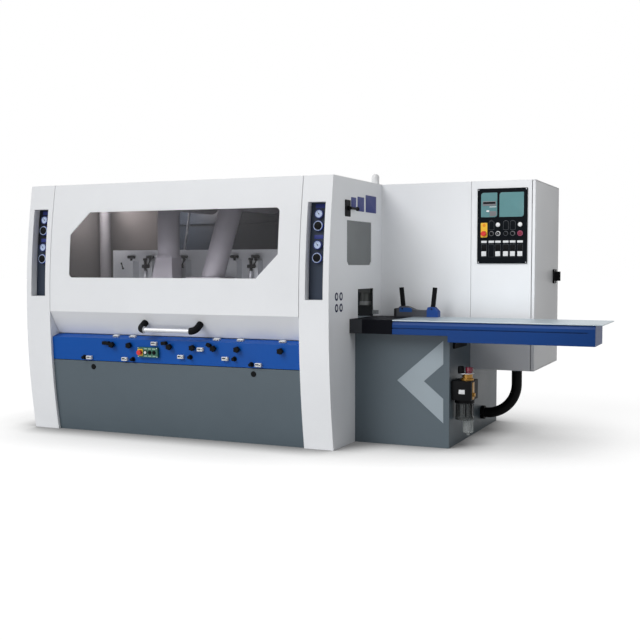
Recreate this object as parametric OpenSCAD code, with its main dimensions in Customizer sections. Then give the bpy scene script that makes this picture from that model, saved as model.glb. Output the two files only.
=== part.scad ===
// Four sided moulder: a floor machine that planes and profiles timber on all four faces in one pass.
// Timber enters over the table on the right, runs along the fence to the left and leaves at the far end.
// Drawing frame: the housing's right end is x = 0, its top front edge y = 0 and the floor z = 0.

/* [Housing] */
// Length of the housing between its outer end faces
housing_l = 2370; // [2200:10:2600]
// Height of the housing above the floor
housing_h = 1750; // [1700:10:1850]
// Depth of the housing from the top front edge to the back
housing_d = 1640; // [1560:10:1800]
// How far the front bulges forward at mid height
bow = 80; // [60:5:100]
// Width of each end pillar
pillar_w = 206; // [190:2:220]
// Thickness of the sheet metal covers
sheet = 4; // [3:0.5:5]
// Depth of the fold along a pillar's inner edge
return_d = 60; // [50:5:65]

/* [Hood] */
// Gap between the hood and each pillar
hood_gap = 3; // [2:0.5:5]
// Height of the bend where the hood's lower lip turns inward
hood_bend_z = 855; // [820:5:900]
// Height of the lower edge of the lip
hood_lip_z = 697; // [695:1:720]
// Setback of the lower edge of the lip behind the top front edge
hood_lip_y = 18; // [10:1:30]
// Depth of the hood's roof back to its hinges
hood_roof_d = 760; // [740:5:780]
// Length of the hood window
window_l = 1635; // [1400:5:1700]
// Height of the hood window as a share of the housing's height
window_h_share = 0.2606; // [0.22:0.0002:0.27]
// Height of the window's lower edge as a share of the housing's height
window_low_share = 0.6257; // [0.61:0.0001:0.64]
// Distance of the window's right edge from the housing's right end
window_x = 361; // [340:1:420]
// Size of the two cut corners of the window
window_cut = 155; // [80:5:180]
// Radius of the other two corners of the window
window_r = 28; // [10:2:50]
// Thickness of the window panes
pane_t = 5; // [3:0.5:8]
// Overlap of a pane behind the edge of its opening
pane_lap = 25; // [15:1:35]
// Distance between the two elbows of the hood handle
handle_l = 435; // [300:5:600]
// Height of the hood handle
handle_z = 744; // [730:1:780]
// Distance of the handle's axis in front of the lip
handle_reach = 99; // [80:1:140]
// Radius of the handle's tube
handle_r = 14; // [10:1:17]

/* [Front panels] */
// How far the front panels lie behind the pillars
panel_inset = 20; // [12:1:30]
// Height of the lower edge of the adjustment panel
adjust_z = 512; // [490:1:515]
// Height of the front edge of the adjustment panel's ledge
ledge_z = 672; // [665:1:680]
// Rise of the ledge from front to back
ledge_rise = 20; // [10:1:22]
// Setback of the ledge's back edge
ledge_y = 16; // [10:1:25]
// Height of the row of star knobs
knob_z = 631; // [625:1:640]
// Radius of a star knob over its lobes
knob_r = 21; // [16:1:26]
// Radius of an adjusting shaft
shaft_r = 8; // [6:1:10]
// Length of the operator station on the adjustment panel
station_l = 160; // [156:2:200]
// Height of the operator station
station_h = 68; // [60:2:80]

/* [Gauge slots] */
// Width of a gauge slot
slot_w = 122; // [100:2:130]
// Height of a gauge slot as a share of the housing's height
slot_h_share = 0.3531; // [0.34:0.0001:0.36]
// Height of a gauge slot's lower edge as a share of the housing's height
slot_low_share = 0.5497; // [0.54:0.0001:0.56]
// Depth of a gauge slot
slot_d = 58; // [50:1:60]
// Radius of a pressure gauge
gauge_r = 26; // [22:1:34]

/* [Timber path] */
// Height of the table surface above the floor
table_z = 828; // [815:1:840]
// Distance of the fence face behind the top front edge
fence_y = 690; // [660:5:700]
// Widest timber
work_w = 230; // [200:5:240]
// Thickness of the timber that the machine is set for
work_h = 30; // [20:1:45]
// Height of the tunnel above the table
tunnel_h = 193; // [170:1:210]
// Clearance beside the timber in the tunnel
tunnel_side = 44; // [30:1:60]

/* [Works] */
// Radius of the circle that the knives cut
cutter_r = 62.5; // [50:0.5:65]
// Radius of a spindle
spindle_r = 20; // [15:1:25]
// Height of the cast bed
bed_h = 700; // [680:5:705]
// Radius of a belt pulley
pulley_r = 60; // [45:1:65]
// Width of a drive belt
belt_w = 40; // [25:1:45]
// Radius of a spindle motor
motor_r = 118; // [90:1:119]
// Length of a spindle motor
motor_l = 300; // [220:5:310]
// Radius of a feed roller
roller_r = 75; // [60:1:78]
// Number of teeth round a feed roller
roller_teeth = 24; // [16:1:30]
// Outer radius of a suction duct
duct_r = 79; // [70:1:90]
// Radius of a dust outlet on the roof
outlet_r = 75; // [60:1:80]
// Height of a dust outlet above the roof
outlet_h = 78; // [60:2:80]

/* [Infeed side] */
// Length of the infeed base
base_l = 652; // [600:2:700]
// Setback of the infeed base's front
base_y = 368; // [340:2:400]
// Height of the infeed base
base_h = 735; // [725:1:738]
// Reach of the infeed table beyond the housing
table_l = 1620; // [1400:10:2000]
// Setback of the infeed table's front edge
table_y = 265; // [240:5:300]
// Depth of the infeed table
table_d = 495; // [480:5:505]
// Thickness of the ground table plate
table_t = 6; // [4:0.5:8]
// Depth of the beam below the table
beam_d = 295; // [240:5:320]
// Length of the dark jointing table next to the housing
joint_l = 295; // [240:5:330]

/* [Control cabinet] */
// Setback of the cabinet's front
cabinet_y = 872; // [865:1:900]
// Width of the cabinet
cabinet_w = 436; // [400:2:500]
// Back of the cabinet behind the top front edge
cabinet_back = 1716; // [1660:2:1760]
// Height of the cabinet's underside above the floor
cabinet_z = 468; // [440:2:500]
// Thickness of the cabinet door
door_t = 20; // [16:1:24]
// Length of the control panel
panel_l = 340; // [320:2:360]
// Height of the control panel
panel_h = 506; // [480:2:530]

/* [Conduit and air unit] */
// Radius of the cable conduit
conduit_r = 36; // [28:1:40]
// Bend radius of the cable conduit
conduit_bend = 215; // [190:5:220]
// Height of the conduit's lower end above the floor
conduit_z = 125; // [115:1:140]
// Width of the air unit's block
air_w = 130; // [120:2:140]

/* [Hidden] */
// Overrun of a cut past the faces that it goes through
cut = 1;
// Clearance of a running fit, and the gap where moving flat faces meet
fit = 0.05;
rest_gap = 0.3;
smooth = 96;
round_fn = 48;
// The bulge of the front is one arc over the full height
bow_r = (pow(housing_h / 2, 2) + pow(bow, 2)) / (2 * bow);
bow_cy = bow_r - bow;
bow_fn = 256;
inner_l = housing_l - 2 * pillar_w;
window_h = window_h_share * housing_h;
window_z = window_low_share * housing_h;
slot_h = slot_h_share * housing_h;
slot_z = slot_low_share * housing_h;
// Hood hinges on the roof
hinge_r = 8;
hinge_pin_r = 4;
hinge_w = 120;
hinge_leaf = 48;
hinge_leaf_t = 3;
hinge_space = 1;
hinge_back = 8;
hinge_y = hood_roof_d + hinge_back;
hinge_z = housing_h + hinge_r;
hinge_shares = [0.12, 0.5, 0.88];
roof_y = hinge_y + hinge_back;
// Stiffening rail along the inside of the back wall
rail_share = 0.874;
rail_h = 26;
rail_d = 30;
// Raised fields pressed into the back wall, as shares of its length and height
field_shares = [0.19, 0.5, 0.81];
field_w_share = 0.27;
field_low_share = 0.12;
field_low = field_low_share * housing_h;
field_h_share = 0.5;
field_t = 3;
hood_l = inner_l - 2 * hood_gap;
hood_x = -(housing_l - pillar_w - hood_gap);
cheek_d = 55;
lip_return = 36;
handle_x = -1168;
elbow_r = 24;
elbow_bend = 38;
// End wall of the infeed side
end_window_y = 222;
end_window_l = 443;
end_window_shares = [0.6754, 0.1669];
end_window_z = end_window_shares[0] * housing_h;
end_window_h = end_window_shares[1] * housing_h;
end_window_cut = 26;
latch_y = 228;
latch_share = 0.8863;
latch_z = latch_share * housing_h;
latch_r = 9;
latch_l = 124;
latch_t = 14;
latch_reach = 34;
tunnel_y = fence_y - work_w - tunnel_side;
tunnel_back = 20;
tunnel_l = work_w + tunnel_side + tunnel_back;
tunnel_z = table_z - table_t;
lamp_r = 27;
lamp_h = 54;
lamp_x = -60;
lamp_y = 905;
// Adjusters along the front, as shares of the housing's length from its right end
knob_shares = [0.1447, 0.278, 0.3527, 0.4207, 0.4967, 0.6337, 0.6934];
stub_shares = [[0.237, 0], [0.2895, 1], [0.431, 1], [0.625, 0], [0.7975, 0]];
readout_shares = [[0.214, 0], [0.3173, 1], [0.4612, 1], [0.6523, 0], [0.778, 0], [0.396, 3], [0.549, 4]];
ledge_shares = [0.147, 0.2777, 0.3533, 0.634, 0.692];
low_row_z = 534;
mid_row_z = 566;
near_row_drop = 10;
top_row_rise = 18;
row_heights = [low_row_z, mid_row_z, knob_z, knob_z - near_row_drop, knob_z + top_row_rise];
lobes = 5;
lobe_r = 7;
knob_t = 22;
knob_neck_r = 13;
knob_neck = 10;
boss_r = 16;
boss_l = 40;
stub_r = 11;
stub_l = 28;
readout_w = 44;
readout_h = 24;
readout_d = 18;
ledge_readout_in = 28;
ledge_readout_t = 12;
// Operator station
station_share = 0.5688;
station_x = -station_share * housing_l;
station_z = 588;
station_d = 22;
stop_r = 17;
stop_neck_r = 9;
stop_travel = 6;
station_stop_x = -58;
button_r = 9;
button_d = 7;
button_travel = 4;
button_xs = [-16, 18, 52];
// Gauges and regulators in each slot, as shares of the housing's height
gauge_shares = [0.8594, 0.7474];
gauge_zs = [for (s = gauge_shares) s * housing_h];
regulator_shares = [0.816, 0.7006];
regulator_zs = [for (s = regulator_shares) s * housing_h];
gauge_t = 18;
regulator_r = 32;
regulator_t = 22;
regulator_stem_r = 7;
plate_t = 3;
stem_l = 20;
// Cast bed and what stands on it
bed_gap = 30;
bed_y = 70;
bed_back = 940;
bed_wall = 40;
bed_top = 60;
rib_t = 30;
rib_shares = [0.27, 0.54, 0.69];
foot = 130;
foot_t = 25;
anchor_r = 9;
wall_gap = 6;
fence_t = 16;
fence_h = 72;
fence_tip = 40;
fence_tip_h = 28;
// Spindles in the order that the timber meets them
spindle_shares = [0.177, 0.3375, 0.4725, 0.6076, 0.7806];
spindle_xs = [for (s = spindle_shares) -s * housing_l];
right_y = fence_y + cutter_r;
left_y = fence_y - work_w - cutter_r;
bottom_z = table_z - cutter_r;
top_z = table_z + work_h + cutter_r;
cutter_gap = 8;
head_inset = 4;
head_l = work_w - 2 * head_inset;
side_head_h = 160;
side_head_drop = 10;
side_head_z = table_z - side_head_drop;
knives = 4;
knife_t = 8;
knife_out = 3;
gullet_r = 12;
carrier_w = 140;
carrier_gap = 9;
carrier_y = fence_y + fence_t + carrier_gap;
carrier_h = 55;
quill_r = 55;
quill_flange_r = 85;
quill_flange_t = 15;
quill_z = 480;
pulley_rim = 3;
pulley_w = belt_w + 2 * pulley_rim;
pulley_gap = 22;
pulley_y = bed_back + pulley_gap;
side_pulley_z = 402;
belt_t = 6;
motor_shaft_r = 19;
motor_drop = 345;
motor_rise = 255;
side_motor_y = 1150;
motor_gap = 12;
motor_foot_w = 180;
motor_fins = 5;
// Motor brackets on the back of the bed
shelf_t = 30;
shelf_margin = 12;
shelf_w = 2 * (motor_r + shelf_margin);
motor_flange_t = 18;
motor_flange_h = 130;
web_t = 10;
web_d = 200;
column_w = 220;
column_d = 50;
// Feed beam with its posts, lugs, arms and rollers
post_r = 42;
post_share = 0.467;
post_xs = [for (side = [-1, 1]) (side * post_share - 0.5) * housing_l];
post_y = 760;
post_h = 940;
feed_y = 620;
feed_d = 260;
feed_h = 235;
feed_z = 1060;
feed_share = 0.786;
feed_l = feed_share * housing_l;
lug_w = 106;
lug_l = 315;
lug_d = 120;
lug_h = 92;
lug_drop = 70;
arm_w = 120;
arm_gap = 22;
arm_y = fence_y + arm_gap;
arm_t = 60;
axle_r = 15;
axle_l = 110;
roller_z = table_z + work_h + roller_r;
roller_w = 204;
tooth_d = 8;
roller_shares = [0.2532, 0.6962];
press_shares = [0.362, 0.434, 0.614, 0.739, 0.811];
press_w = 80;
press_d = 78;
press_h = 150;
press_z = 1065;
screw_r = 9;
screw_h = 28;
grip_l = 60;
grip_r = 11;
// Suction hoods and ducts
duct_t = 3;
duct_y = 350;
duct_gap = 16;
duct_top_z = housing_h - sheet - duct_r - duct_gap;
duct_bend = 140;
outlet_y = 880;
outlet_t = 3;
top_hood_w = 220;
top_hood_h = 60;
top_hood_gap = 12;
top_hood_z = top_z + cutter_r + top_hood_gap;
collar_z = 1233;
collar_lap = 22;
collar_t = 6;
funnel_w = 180;
funnel_d = 130;
funnel_share = 0.62;
slant_x = -1076;
slant_z = 1098;
slant_top_x = -905;
side_hood_left = 115;
side_hood_w = 270;
side_hood_y = 250;
side_hood_d = 210;
side_hood_h = 95;
side_hood_top = 1098;
// Infeed table
joint_gap = 3;
bevel = 24;
beam_end = 45;
beam_bottom = 695;
groove_z = 775;
groove_h = 6;
groove_d = 8;
bracket_t = 16;
guide_x = 158;
guide_l = 315;
guide_y = fence_y + 4;
guide_d = 58;
clamp_l = 90;
clamp_h = 72;
// Front outline of the side guide, as shares of its length and of its clamp height
guide_shares = [[0, 0], [0, 0.72], [0.025, 0.79], [0.1, 0.83], [0.14, 1], [0.26, 1], [0.33, 0.93],
    [0.47, 0.69], [0.55, 0.64], [0.745, 0.64], [0.765, 0.9], [0.785, 0.95], [0.905, 0.95], [1, 0.53],
    [1, 0]];
lever_w = 28;
lever_t = 18;
lever_l = 140;
lever_hub_r = 15;
lever_pin_r = 6;
lever_slot = 22;
lever_lean = 6;
lever_shares = [0.19, 0.857];
left_lever_x = guide_x + lever_shares[0] * guide_l;
right_lever_x = guide_x + lever_shares[1] * guide_l;
lever_rim = 3;
lever_z = table_z + clamp_h - lever_hub_r - lever_rim;
// Control cabinet
base_wall = 5;
cover_gap = 2;
door_gap = 4;
door_wall = 3;
door_pin_r = 5;
door_pin_inset = 8;
door_space = 2;
panel_t = 8;
panel_side = 44;
panel_top = 52;
panel_x = base_l + panel_side;
panel_z = housing_h - panel_top - panel_h;
panel_stop_in = 47;
panel_stop_up = 202;
panel_stop_x = panel_x + panel_stop_in;
panel_stop_z = panel_z + panel_stop_up;
panel_back_margin = 30;
isolator_y = 1560;
isolator_z = 1100;
isolator_r = 34;
isolator_t = 34;
isolator_stem_r = 10;
isolator_bar = 16;
isolator_bar_h = 12;
gear_plate_t = 4;
gear_plate_gap = 40;
gear_margin = 60;
drive_w = 130;
drive_d = 160;
drive_h = 320;
drive_shares = [0.2, 0.5, 0.8];
relay_w = 56;
relay_h = 84;
relay_d = 80;
relay_count = 8;
gear_step = 24;
// Conduit between the cabinet and the infeed base, and its glands
conduit_x = 905;
conduit_y = 1190;
conduit_wall = 4;
gland_rim = 12;
gland_r = conduit_r + gland_rim;
gland_t = 26;
// Air service unit on the infeed base
air_x = base_l;
air_y = 400;
air_d = 170;
air_z = 311;
air_h = 125;
air_arm = 4;
bowl_r = 60;
bowl_h = 132;
drain_r = 34;
drain_h = 104;
drain_in = 24;
valve_r = 42;
valve_h = 42;
valve_in = 18;
cap_r = 26;
cap_h = 38;
cap_in = 30;
plate_r = 52;
plate_in = 10;
air_neck = 22;
// Turned outlines from the foot up, as shares of radius and height
bowl_shares = [[0.98, 0], [1, 0.03], [1, 0.14], [0.92, 0.17], [0.92, 0.78], [1, 0.81], [1, 1]];
drain_shares = [[0.3, 0], [0.3, 0.12], [0.85, 0.16], [1, 0.24], [1, 1]];
valve_shares = [[1, 0], [1, 0.3], [0.8, 0.36], [0.8, 1]];
cap_shares = [[0.8, 0], [0.8, 0.25], [1, 0.3], [1, 0.85], [0.9, 1]];
// Overall box, for the origin under its centre
front_y = lip_y(handle_z) - handle_reach - elbow_r;
centre_x = (table_l - housing_l) / 2;
centre_y = (front_y + cabinet_back) / 2;

// Depth of the bulged front at a height, and its slope there
function bow_y(z, inset = 0) = bow_cy - sqrt(pow(bow_r - inset, 2) - pow(z - housing_h / 2, 2));
function bow_tilt(z, inset = 0) = asin((z - housing_h / 2) / (bow_r - inset));
// Depth of the hood's lip at a height
function lip_y(z) = hood_lip_y
    + (z - hood_lip_z) / (hood_bend_z - hood_lip_z) * (bow_y(hood_bend_z) - hood_lip_y);

// Puts the origin under the middle of the whole machine
module centred() {
    translate([-centre_x, -centre_y, 0]) children();
}

// Sweeps a side outline, drawn as depth and height, along the length
module extrude_x(l) {
    rotate([90, 0, 90]) linear_extrude(l) children();
}

// Sweeps a front outline, drawn as length and height, from depth y backwards
module extrude_y(y, l) {
    translate([0, y + l, 0]) rotate([90, 0, 0]) linear_extrude(l) children();
}

module rod_x(r, l) {
    rotate([0, 90, 0]) cylinder(r = r, h = l, $fn = round_fn);
}

module rod_y(r, l) {
    rotate([-90, 0, 0]) cylinder(r = r, h = l, $fn = round_fn);
}

module rod_z(r, l) {
    cylinder(r = r, h = l, $fn = round_fn);
}

// Stands children on the bulged front, with -Y pointing straight out of it
module on_bow(x, z, inset) {
    translate([x, bow_y(z, inset), z]) rotate([-bow_tilt(z, inset), 0, 0]) children();
}

module bow_disc(inset) {
    translate([bow_cy, housing_h / 2]) circle(bow_r - inset, $fn = bow_fn);
}

// A curved strip of the front between two heights
module bow_band(inset, thick, low, high) {
    intersection() {
        difference() {
            bow_disc(inset);
            bow_disc(inset + thick);
        }
        translate([-bow, low]) square([bow + housing_d / 2, high - low]);
    }
}

// Side outline of the whole housing, drawn in by a margin on all sides but the floor
module housing_side(inset) {
    low = inset > 0 ? -cut : 0;
    intersection() {
        bow_disc(inset);
        translate([-bow, low]) square([bow + housing_d - inset, housing_h - inset - low]);
    }
}

// Left pillar and end wall as one pan, with its gauge slot and the timber tunnel
module end_pan() {
    slot_x = (pillar_w - slot_w) / 2;
    difference() {
        union() {
            difference() {
                extrude_x(pillar_w) housing_side(0);
                translate([sheet, 0, 0]) extrude_x(pillar_w) housing_side(sheet);
            }
            translate([pillar_w - sheet, 0, 0]) extrude_x(sheet) intersection() {
                housing_side(0);
                translate([-bow, 0]) square([bow + return_d, housing_h]);
            }
            translate([slot_x - sheet, 0, 0]) extrude_x(slot_w + 2 * sheet)
                bow_band(0, slot_d, slot_z - sheet, slot_z + slot_h + sheet);
        }
        translate([slot_x, -bow - cut, slot_z]) cube([slot_w, bow + slot_d + return_d, slot_h]);
        translate([-cut, tunnel_y, tunnel_z]) cube([sheet + 2 * cut, tunnel_l, tunnel_h + table_t]);
    }
}

module left_end_cover() {
    color("whitesmoke") translate([-housing_l, 0, 0]) end_pan();
}

// Outline of the end wall's window, with its two lower corners cut
module end_window_outline(lap) {
    polygon([
        [end_window_y - lap, end_window_z + end_window_cut],
        [end_window_y + end_window_cut, end_window_z - lap],
        [end_window_y + end_window_l - end_window_cut, end_window_z - lap],
        [end_window_y + end_window_l + lap, end_window_z + end_window_cut],
        [end_window_y + end_window_l + lap, end_window_z + end_window_h + lap],
        [end_window_y - lap, end_window_z + end_window_h + lap]]);
}

module right_end_cover() {
    color("whitesmoke") difference() {
        mirror([1, 0, 0]) end_pan();
        translate([-sheet - cut, 0, 0]) extrude_x(sheet + 2 * cut) end_window_outline(0);
        translate([-sheet - cut, latch_y, latch_z]) rod_x(latch_r + fit, sheet + 2 * cut);
    }
}

module end_window() {
    color("dimgray", 0.6) translate([-sheet - pane_t, 0, 0]) extrude_x(pane_t) end_window_outline(pane_lap);
}

// Lever that locks the end wall, on a stub through the sheet with a washer behind it
module latch_lever() {
    color("black") translate([0, latch_y, latch_z]) {
        translate([-sheet - latch_t, 0, 0]) rod_x(latch_r, sheet + latch_t + latch_reach);
        translate([rest_gap, 0, 0]) rod_x(latch_r + latch_t / 2, latch_reach - latch_t);
        translate([latch_reach - latch_t, -latch_t, -latch_t / 2]) cube([latch_t, latch_l, latch_t]);
        translate([latch_reach - latch_t / 2, latch_l - latch_t, 0]) sphere(latch_t, $fn = round_fn);
        translate([-sheet - latch_t, 0, 0]) rod_x(latch_r + latch_t / 2, latch_t - rest_gap);
    }
}

// Fixed roof and back wall with its rail, the hood hinges' fixed halves and two dust outlets
module rear_cover() {
    color("whitesmoke") translate([-housing_l + pillar_w, 0, 0]) difference() {
        union() {
            translate([0, roof_y, housing_h - sheet]) cube([inner_l, housing_d - roof_y, sheet]);
            translate([0, housing_d - sheet, 0]) cube([inner_l, sheet, housing_h]);
            translate([0, housing_d - sheet - rail_d, rail_share * housing_h])
                cube([inner_l, rail_d + sheet / 2, rail_h]);
            for (s = field_shares)
                translate([(s - field_w_share / 2) * inner_l, housing_d - sheet / 2, field_low])
                    cube([field_w_share * inner_l, sheet / 2 + field_t, field_h_share * housing_h]);
            for (s = hinge_shares) translate([s * inner_l - hinge_w / 2, 0, 0]) fixed_hinge();
            for (x = outlet_xs()) translate([x, outlet_y, housing_h - sheet])
                rod_z(outlet_r, sheet + outlet_h);
        }
        for (x = outlet_xs()) translate([x, outlet_y, housing_h - sheet - cut])
            rod_z(outlet_r - outlet_t, sheet + outlet_h + 2 * cut);
    }
}

// Outlet places measured from the left edge of the roof
function outlet_xs() = [spindle_xs[3] + housing_l - pillar_w, slant_top_x + housing_l - pillar_w];

// Fixed half of a hinge: leaf, two knuckles and the pin
module fixed_hinge() {
    knuckle = hinge_w / 4;
    translate([0, hinge_y + hinge_r + hinge_space, housing_h]) cube([hinge_w, hinge_leaf, hinge_leaf_t]);
    for (x = [0, hinge_w - knuckle]) {
        translate([x, hinge_y, hinge_z]) rod_x(hinge_r, knuckle);
        translate([x, hinge_y, housing_h]) cube([knuckle, hinge_r + 2 * hinge_space, hinge_leaf_t]);
    }
    translate([0, hinge_y, hinge_z]) rod_x(hinge_pin_r, hinge_w);
}

// Moving half of a hinge: leaf and middle knuckle
module hood_hinge() {
    knuckle = hinge_w / 4;
    space = hinge_space;
    translate([0, hinge_y - hinge_r - space - hinge_leaf, housing_h])
        cube([hinge_w, hinge_leaf, hinge_leaf_t]);
    difference() {
        union() {
            translate([knuckle + space, hinge_y, hinge_z])
                rod_x(hinge_r, hinge_w - 2 * knuckle - 2 * space);
            translate([knuckle + space, hinge_y - hinge_r - 2 * space, housing_h])
                cube([hinge_w - 2 * knuckle - 2 * space, hinge_r + 2 * space, hinge_leaf_t]);
        }
        translate([0, hinge_y, hinge_z]) rod_x(hinge_pin_r + fit, hinge_w);
    }
}

// Outline of the hood window seen from the front, grown by a lap
module window_outline(lap) {
    left = -window_x - window_l - lap;
    right = -window_x + lap;
    low = window_z - lap;
    high = window_z + window_h + lap;
    difference() {
        polygon([[left, low], [right - window_cut, low], [right, low + window_cut], [right, high],
            [left + window_cut, high], [left, high - window_cut]]);
        round_corner(left, low, 1, 1);
        round_corner(right, high, -1, -1);
    }
}

// What a rounded corner takes off, at corner (x, z) with the shape towards (sx, sz)
module round_corner(x, z, sx, sz) {
    translate([x, z]) scale([sx, sz]) difference() {
        translate([-cut, -cut]) square([window_r + cut, window_r + cut]);
        translate([window_r, window_r]) circle(window_r, $fn = round_fn);
    }
}

// Side outline of the hood, drawn in by a margin on all but its open sides
module hood_side(inset) {
    low = hood_lip_z - (inset > 0 ? cut : 0);
    back = hood_roof_d + (inset > 0 ? cut : 0);
    high = hood_bend_z + cheek_d;
    intersection() {
        bow_disc(inset);
        polygon([[lip_y(low) + inset, low], [lip_y(high) + inset, high], [-2 * bow, high],
            [-2 * bow, housing_h - inset], [back, housing_h - inset], [back, low]]);
    }
}

// Lifting hood: bulged front, roof, inward lip and end cheeks
module hood_shell() {
    color("white") {
        difference() {
            translate([hood_x, 0, 0]) union() {
                extrude_x(hood_l) {
                    difference() {
                        hood_side(0);
                        hood_side(sheet);
                    }
                    translate([hood_lip_y, hood_lip_z]) square([lip_return, sheet]);
                }
                for (x = [cut, hood_l - cut - sheet]) translate([x, 0, 0]) extrude_x(sheet) {
                    bow_band(sheet / 2, cheek_d, hood_bend_z + sheet, housing_h - sheet / 2);
                    translate([cheek_d / 2, housing_h - cheek_d])
                        square([hood_roof_d - cheek_d, cheek_d - sheet / 2]);
                }
            }
            extrude_y(-bow - cut, bow + cheek_d) window_outline(0);
        }
        translate([-housing_l + pillar_w, 0, 0])
            for (s = hinge_shares) translate([s * inner_l - hinge_w / 2, 0, 0]) hood_hinge();
    }
}

module hood_window() {
    color("dimgray", 0.6) intersection() {
        translate([hood_x, 0, 0]) extrude_x(hood_l)
            bow_band(sheet + rest_gap / 3, pane_t, hood_bend_z, housing_h - sheet);
        extrude_y(-bow - cut, bow + cheek_d) window_outline(pane_lap);
    }
}

// Handle: a light tube between two dark elbows that stand on the lip
module hood_handle() {
    tube_y = lip_y(handle_z) - handle_reach;
    lean = atan2(hood_lip_y - bow_y(hood_bend_z), hood_bend_z - hood_lip_z);
    color("silver") translate([handle_x - handle_l / 2 + elbow_bend, tube_y, handle_z])
        rod_x(handle_r, handle_l - 2 * elbow_bend);
    for (side = [-1, 1]) color("black") difference() {
        translate([handle_x, tube_y, handle_z]) rotate([lean, 0, 0]) scale([side, 1, 1]) {
            translate([handle_l / 2 - elbow_bend, elbow_bend, 0]) rotate([0, 0, -90])
                rotate_extrude(angle = 90, $fn = smooth) translate([elbow_bend, 0])
                    circle(elbow_r, $fn = round_fn);
            translate([handle_l / 2, elbow_bend, 0]) rod_y(elbow_r, handle_reach);
        }
        translate([hood_x, 0, 0]) extrude_x(hood_l) polygon([[bow_y(hood_bend_z), hood_bend_z],
            [hood_lip_y, hood_lip_z], [hood_lip_y + handle_reach, hood_lip_z],
            [hood_lip_y + handle_reach, hood_bend_z]]);
    }
}

// Lower front panel, curved with the pillars
module lower_front_panel() {
    color("slategray") translate([-housing_l + pillar_w, 0, 0]) extrude_x(inner_l)
        bow_band(panel_inset, sheet, 0, adjust_z - sheet);
}

// Adjustment panel with its sloping ledge and the bushes of the adjusting shafts
module adjustment_panel() {
    front = bow_y(ledge_z, panel_inset);
    color("royalblue") difference() {
        union() {
            translate([-housing_l + pillar_w, 0, 0]) extrude_x(inner_l) {
                bow_band(panel_inset, sheet, adjust_z, ledge_z);
                polygon([[front, ledge_z], [ledge_y, ledge_z + ledge_rise],
                    [ledge_y, ledge_z + ledge_rise - sheet], [front + sheet / 2, ledge_z - sheet]]);
            }
            for (s = knob_shares) on_bow(-s * housing_l, knob_z, panel_inset)
                translate([0, sheet / 2, 0]) rod_y(boss_r, boss_l);
        }
        for (s = knob_shares) on_bow(-s * housing_l, knob_z, panel_inset)
            translate([0, -boss_l, 0]) rod_y(shaft_r + fit, 3 * boss_l);
    }
}

// Star knob on its adjusting shaft
module adjuster(i) {
    color("black") on_bow(-knob_shares[i] * housing_l, knob_z, panel_inset) {
        translate([0, -knob_neck, 0]) rod_y(knob_neck_r, knob_neck - rest_gap);
        translate([0, -knob_neck, 0]) rod_y(shaft_r, knob_neck + boss_l);
        translate([0, -knob_neck, 0]) rotate([90, 0, 0]) linear_extrude(knob_t) {
            circle(knob_r - lobe_r / 2, $fn = round_fn);
            for (k = [0 : lobes - 1]) rotate(k * 360 / lobes) translate([knob_r - lobe_r, 0])
                circle(lobe_r, $fn = round_fn);
        }
    }
}

// Small counters beside the shafts, on the ledge, and the square shaft ends of the lower row
module position_readouts() {
    color("gainsboro") {
        for (r = readout_shares) on_bow(-r[0] * housing_l, row_heights[r[1]], panel_inset)
            translate([-readout_w / 2, -readout_d, -readout_h / 2]) cube([readout_w, readout_d, readout_h]);
        for (s = ledge_shares) translate([-s * housing_l, bow_y(ledge_z, panel_inset), ledge_z])
            rotate([atan2(ledge_rise, ledge_y - bow_y(ledge_z, panel_inset)), 0, 0])
                translate([-readout_w / 2, ledge_readout_in, 0])
                    cube([readout_w, readout_h, ledge_readout_t]);
    }
    color("black") for (s = stub_shares) on_bow(-s[0] * housing_l, row_heights[s[1]], panel_inset) {
        translate([0, -stub_l, 0]) rod_y(stub_r, stub_l);
    }
}

// Operator station: a shallow box with holes for its stop and three buttons
module button_station() {
    color("seagreen") on_bow(station_x, station_z, panel_inset) difference() {
        translate([-station_l / 2, -station_d, -station_h / 2]) cube([station_l, station_d, station_h]);
        translate([station_stop_x, -station_d - cut, 0]) rod_y(stop_neck_r + fit, station_d - sheet + cut);
        for (x = button_xs) translate([x, -station_d - cut, 0])
            rod_y(button_r + fit, station_d - sheet + cut);
    }
}

// Mushroom head on its stem, standing off the face by its travel
module stop_button(stem) {
    translate([0, -stop_travel - stop_r / 2, 0]) rod_y(stop_neck_r, stop_r / 2 + stem);
    translate([0, -stop_travel - stop_r, 0]) rod_y(stop_r, stop_r - rest_gap);
}

module station_stop() {
    color("red") on_bow(station_x, station_z, panel_inset)
        translate([station_stop_x, -station_d, 0]) stop_button(station_d - sheet - stop_travel - cut);
}

module station_button(i, tint) {
    color(tint) on_bow(station_x, station_z, panel_inset)
        translate([button_xs[i], -station_d - button_d, 0])
            rod_y(button_r, button_d + station_d - sheet - button_travel - cut);
}

module station_button_white() {
    station_button(0, "white");
}

module station_button_left() {
    station_button(1, "black");
}

module station_button_right() {
    station_button(2, "black");
}

// Middle of a pillar's width, left or right
function pillar_x(side) = side < 0 ? -housing_l + pillar_w / 2 : -pillar_w / 2;

// Curved plates at the bottom of the slots, each with two gauges
module gauge_panels() {
    for (side = [-1, 1]) {
        color("black") difference() {
            translate([pillar_x(side) - slot_w / 2 - sheet, 0, 0]) extrude_x(slot_w + 2 * sheet)
                bow_band(slot_d, plate_t, slot_z - sheet, slot_z + slot_h + sheet);
            for (z = regulator_zs) on_bow(pillar_x(side), z, slot_d)
                translate([0, -plate_t, 0]) rod_y(regulator_stem_r + fit, 3 * plate_t);
        }
        color("white") for (z = gauge_zs) on_bow(pillar_x(side), z, slot_d)
            translate([0, -gauge_t - rest_gap, 0]) rod_y(gauge_r, gauge_t);
    }
}

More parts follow.
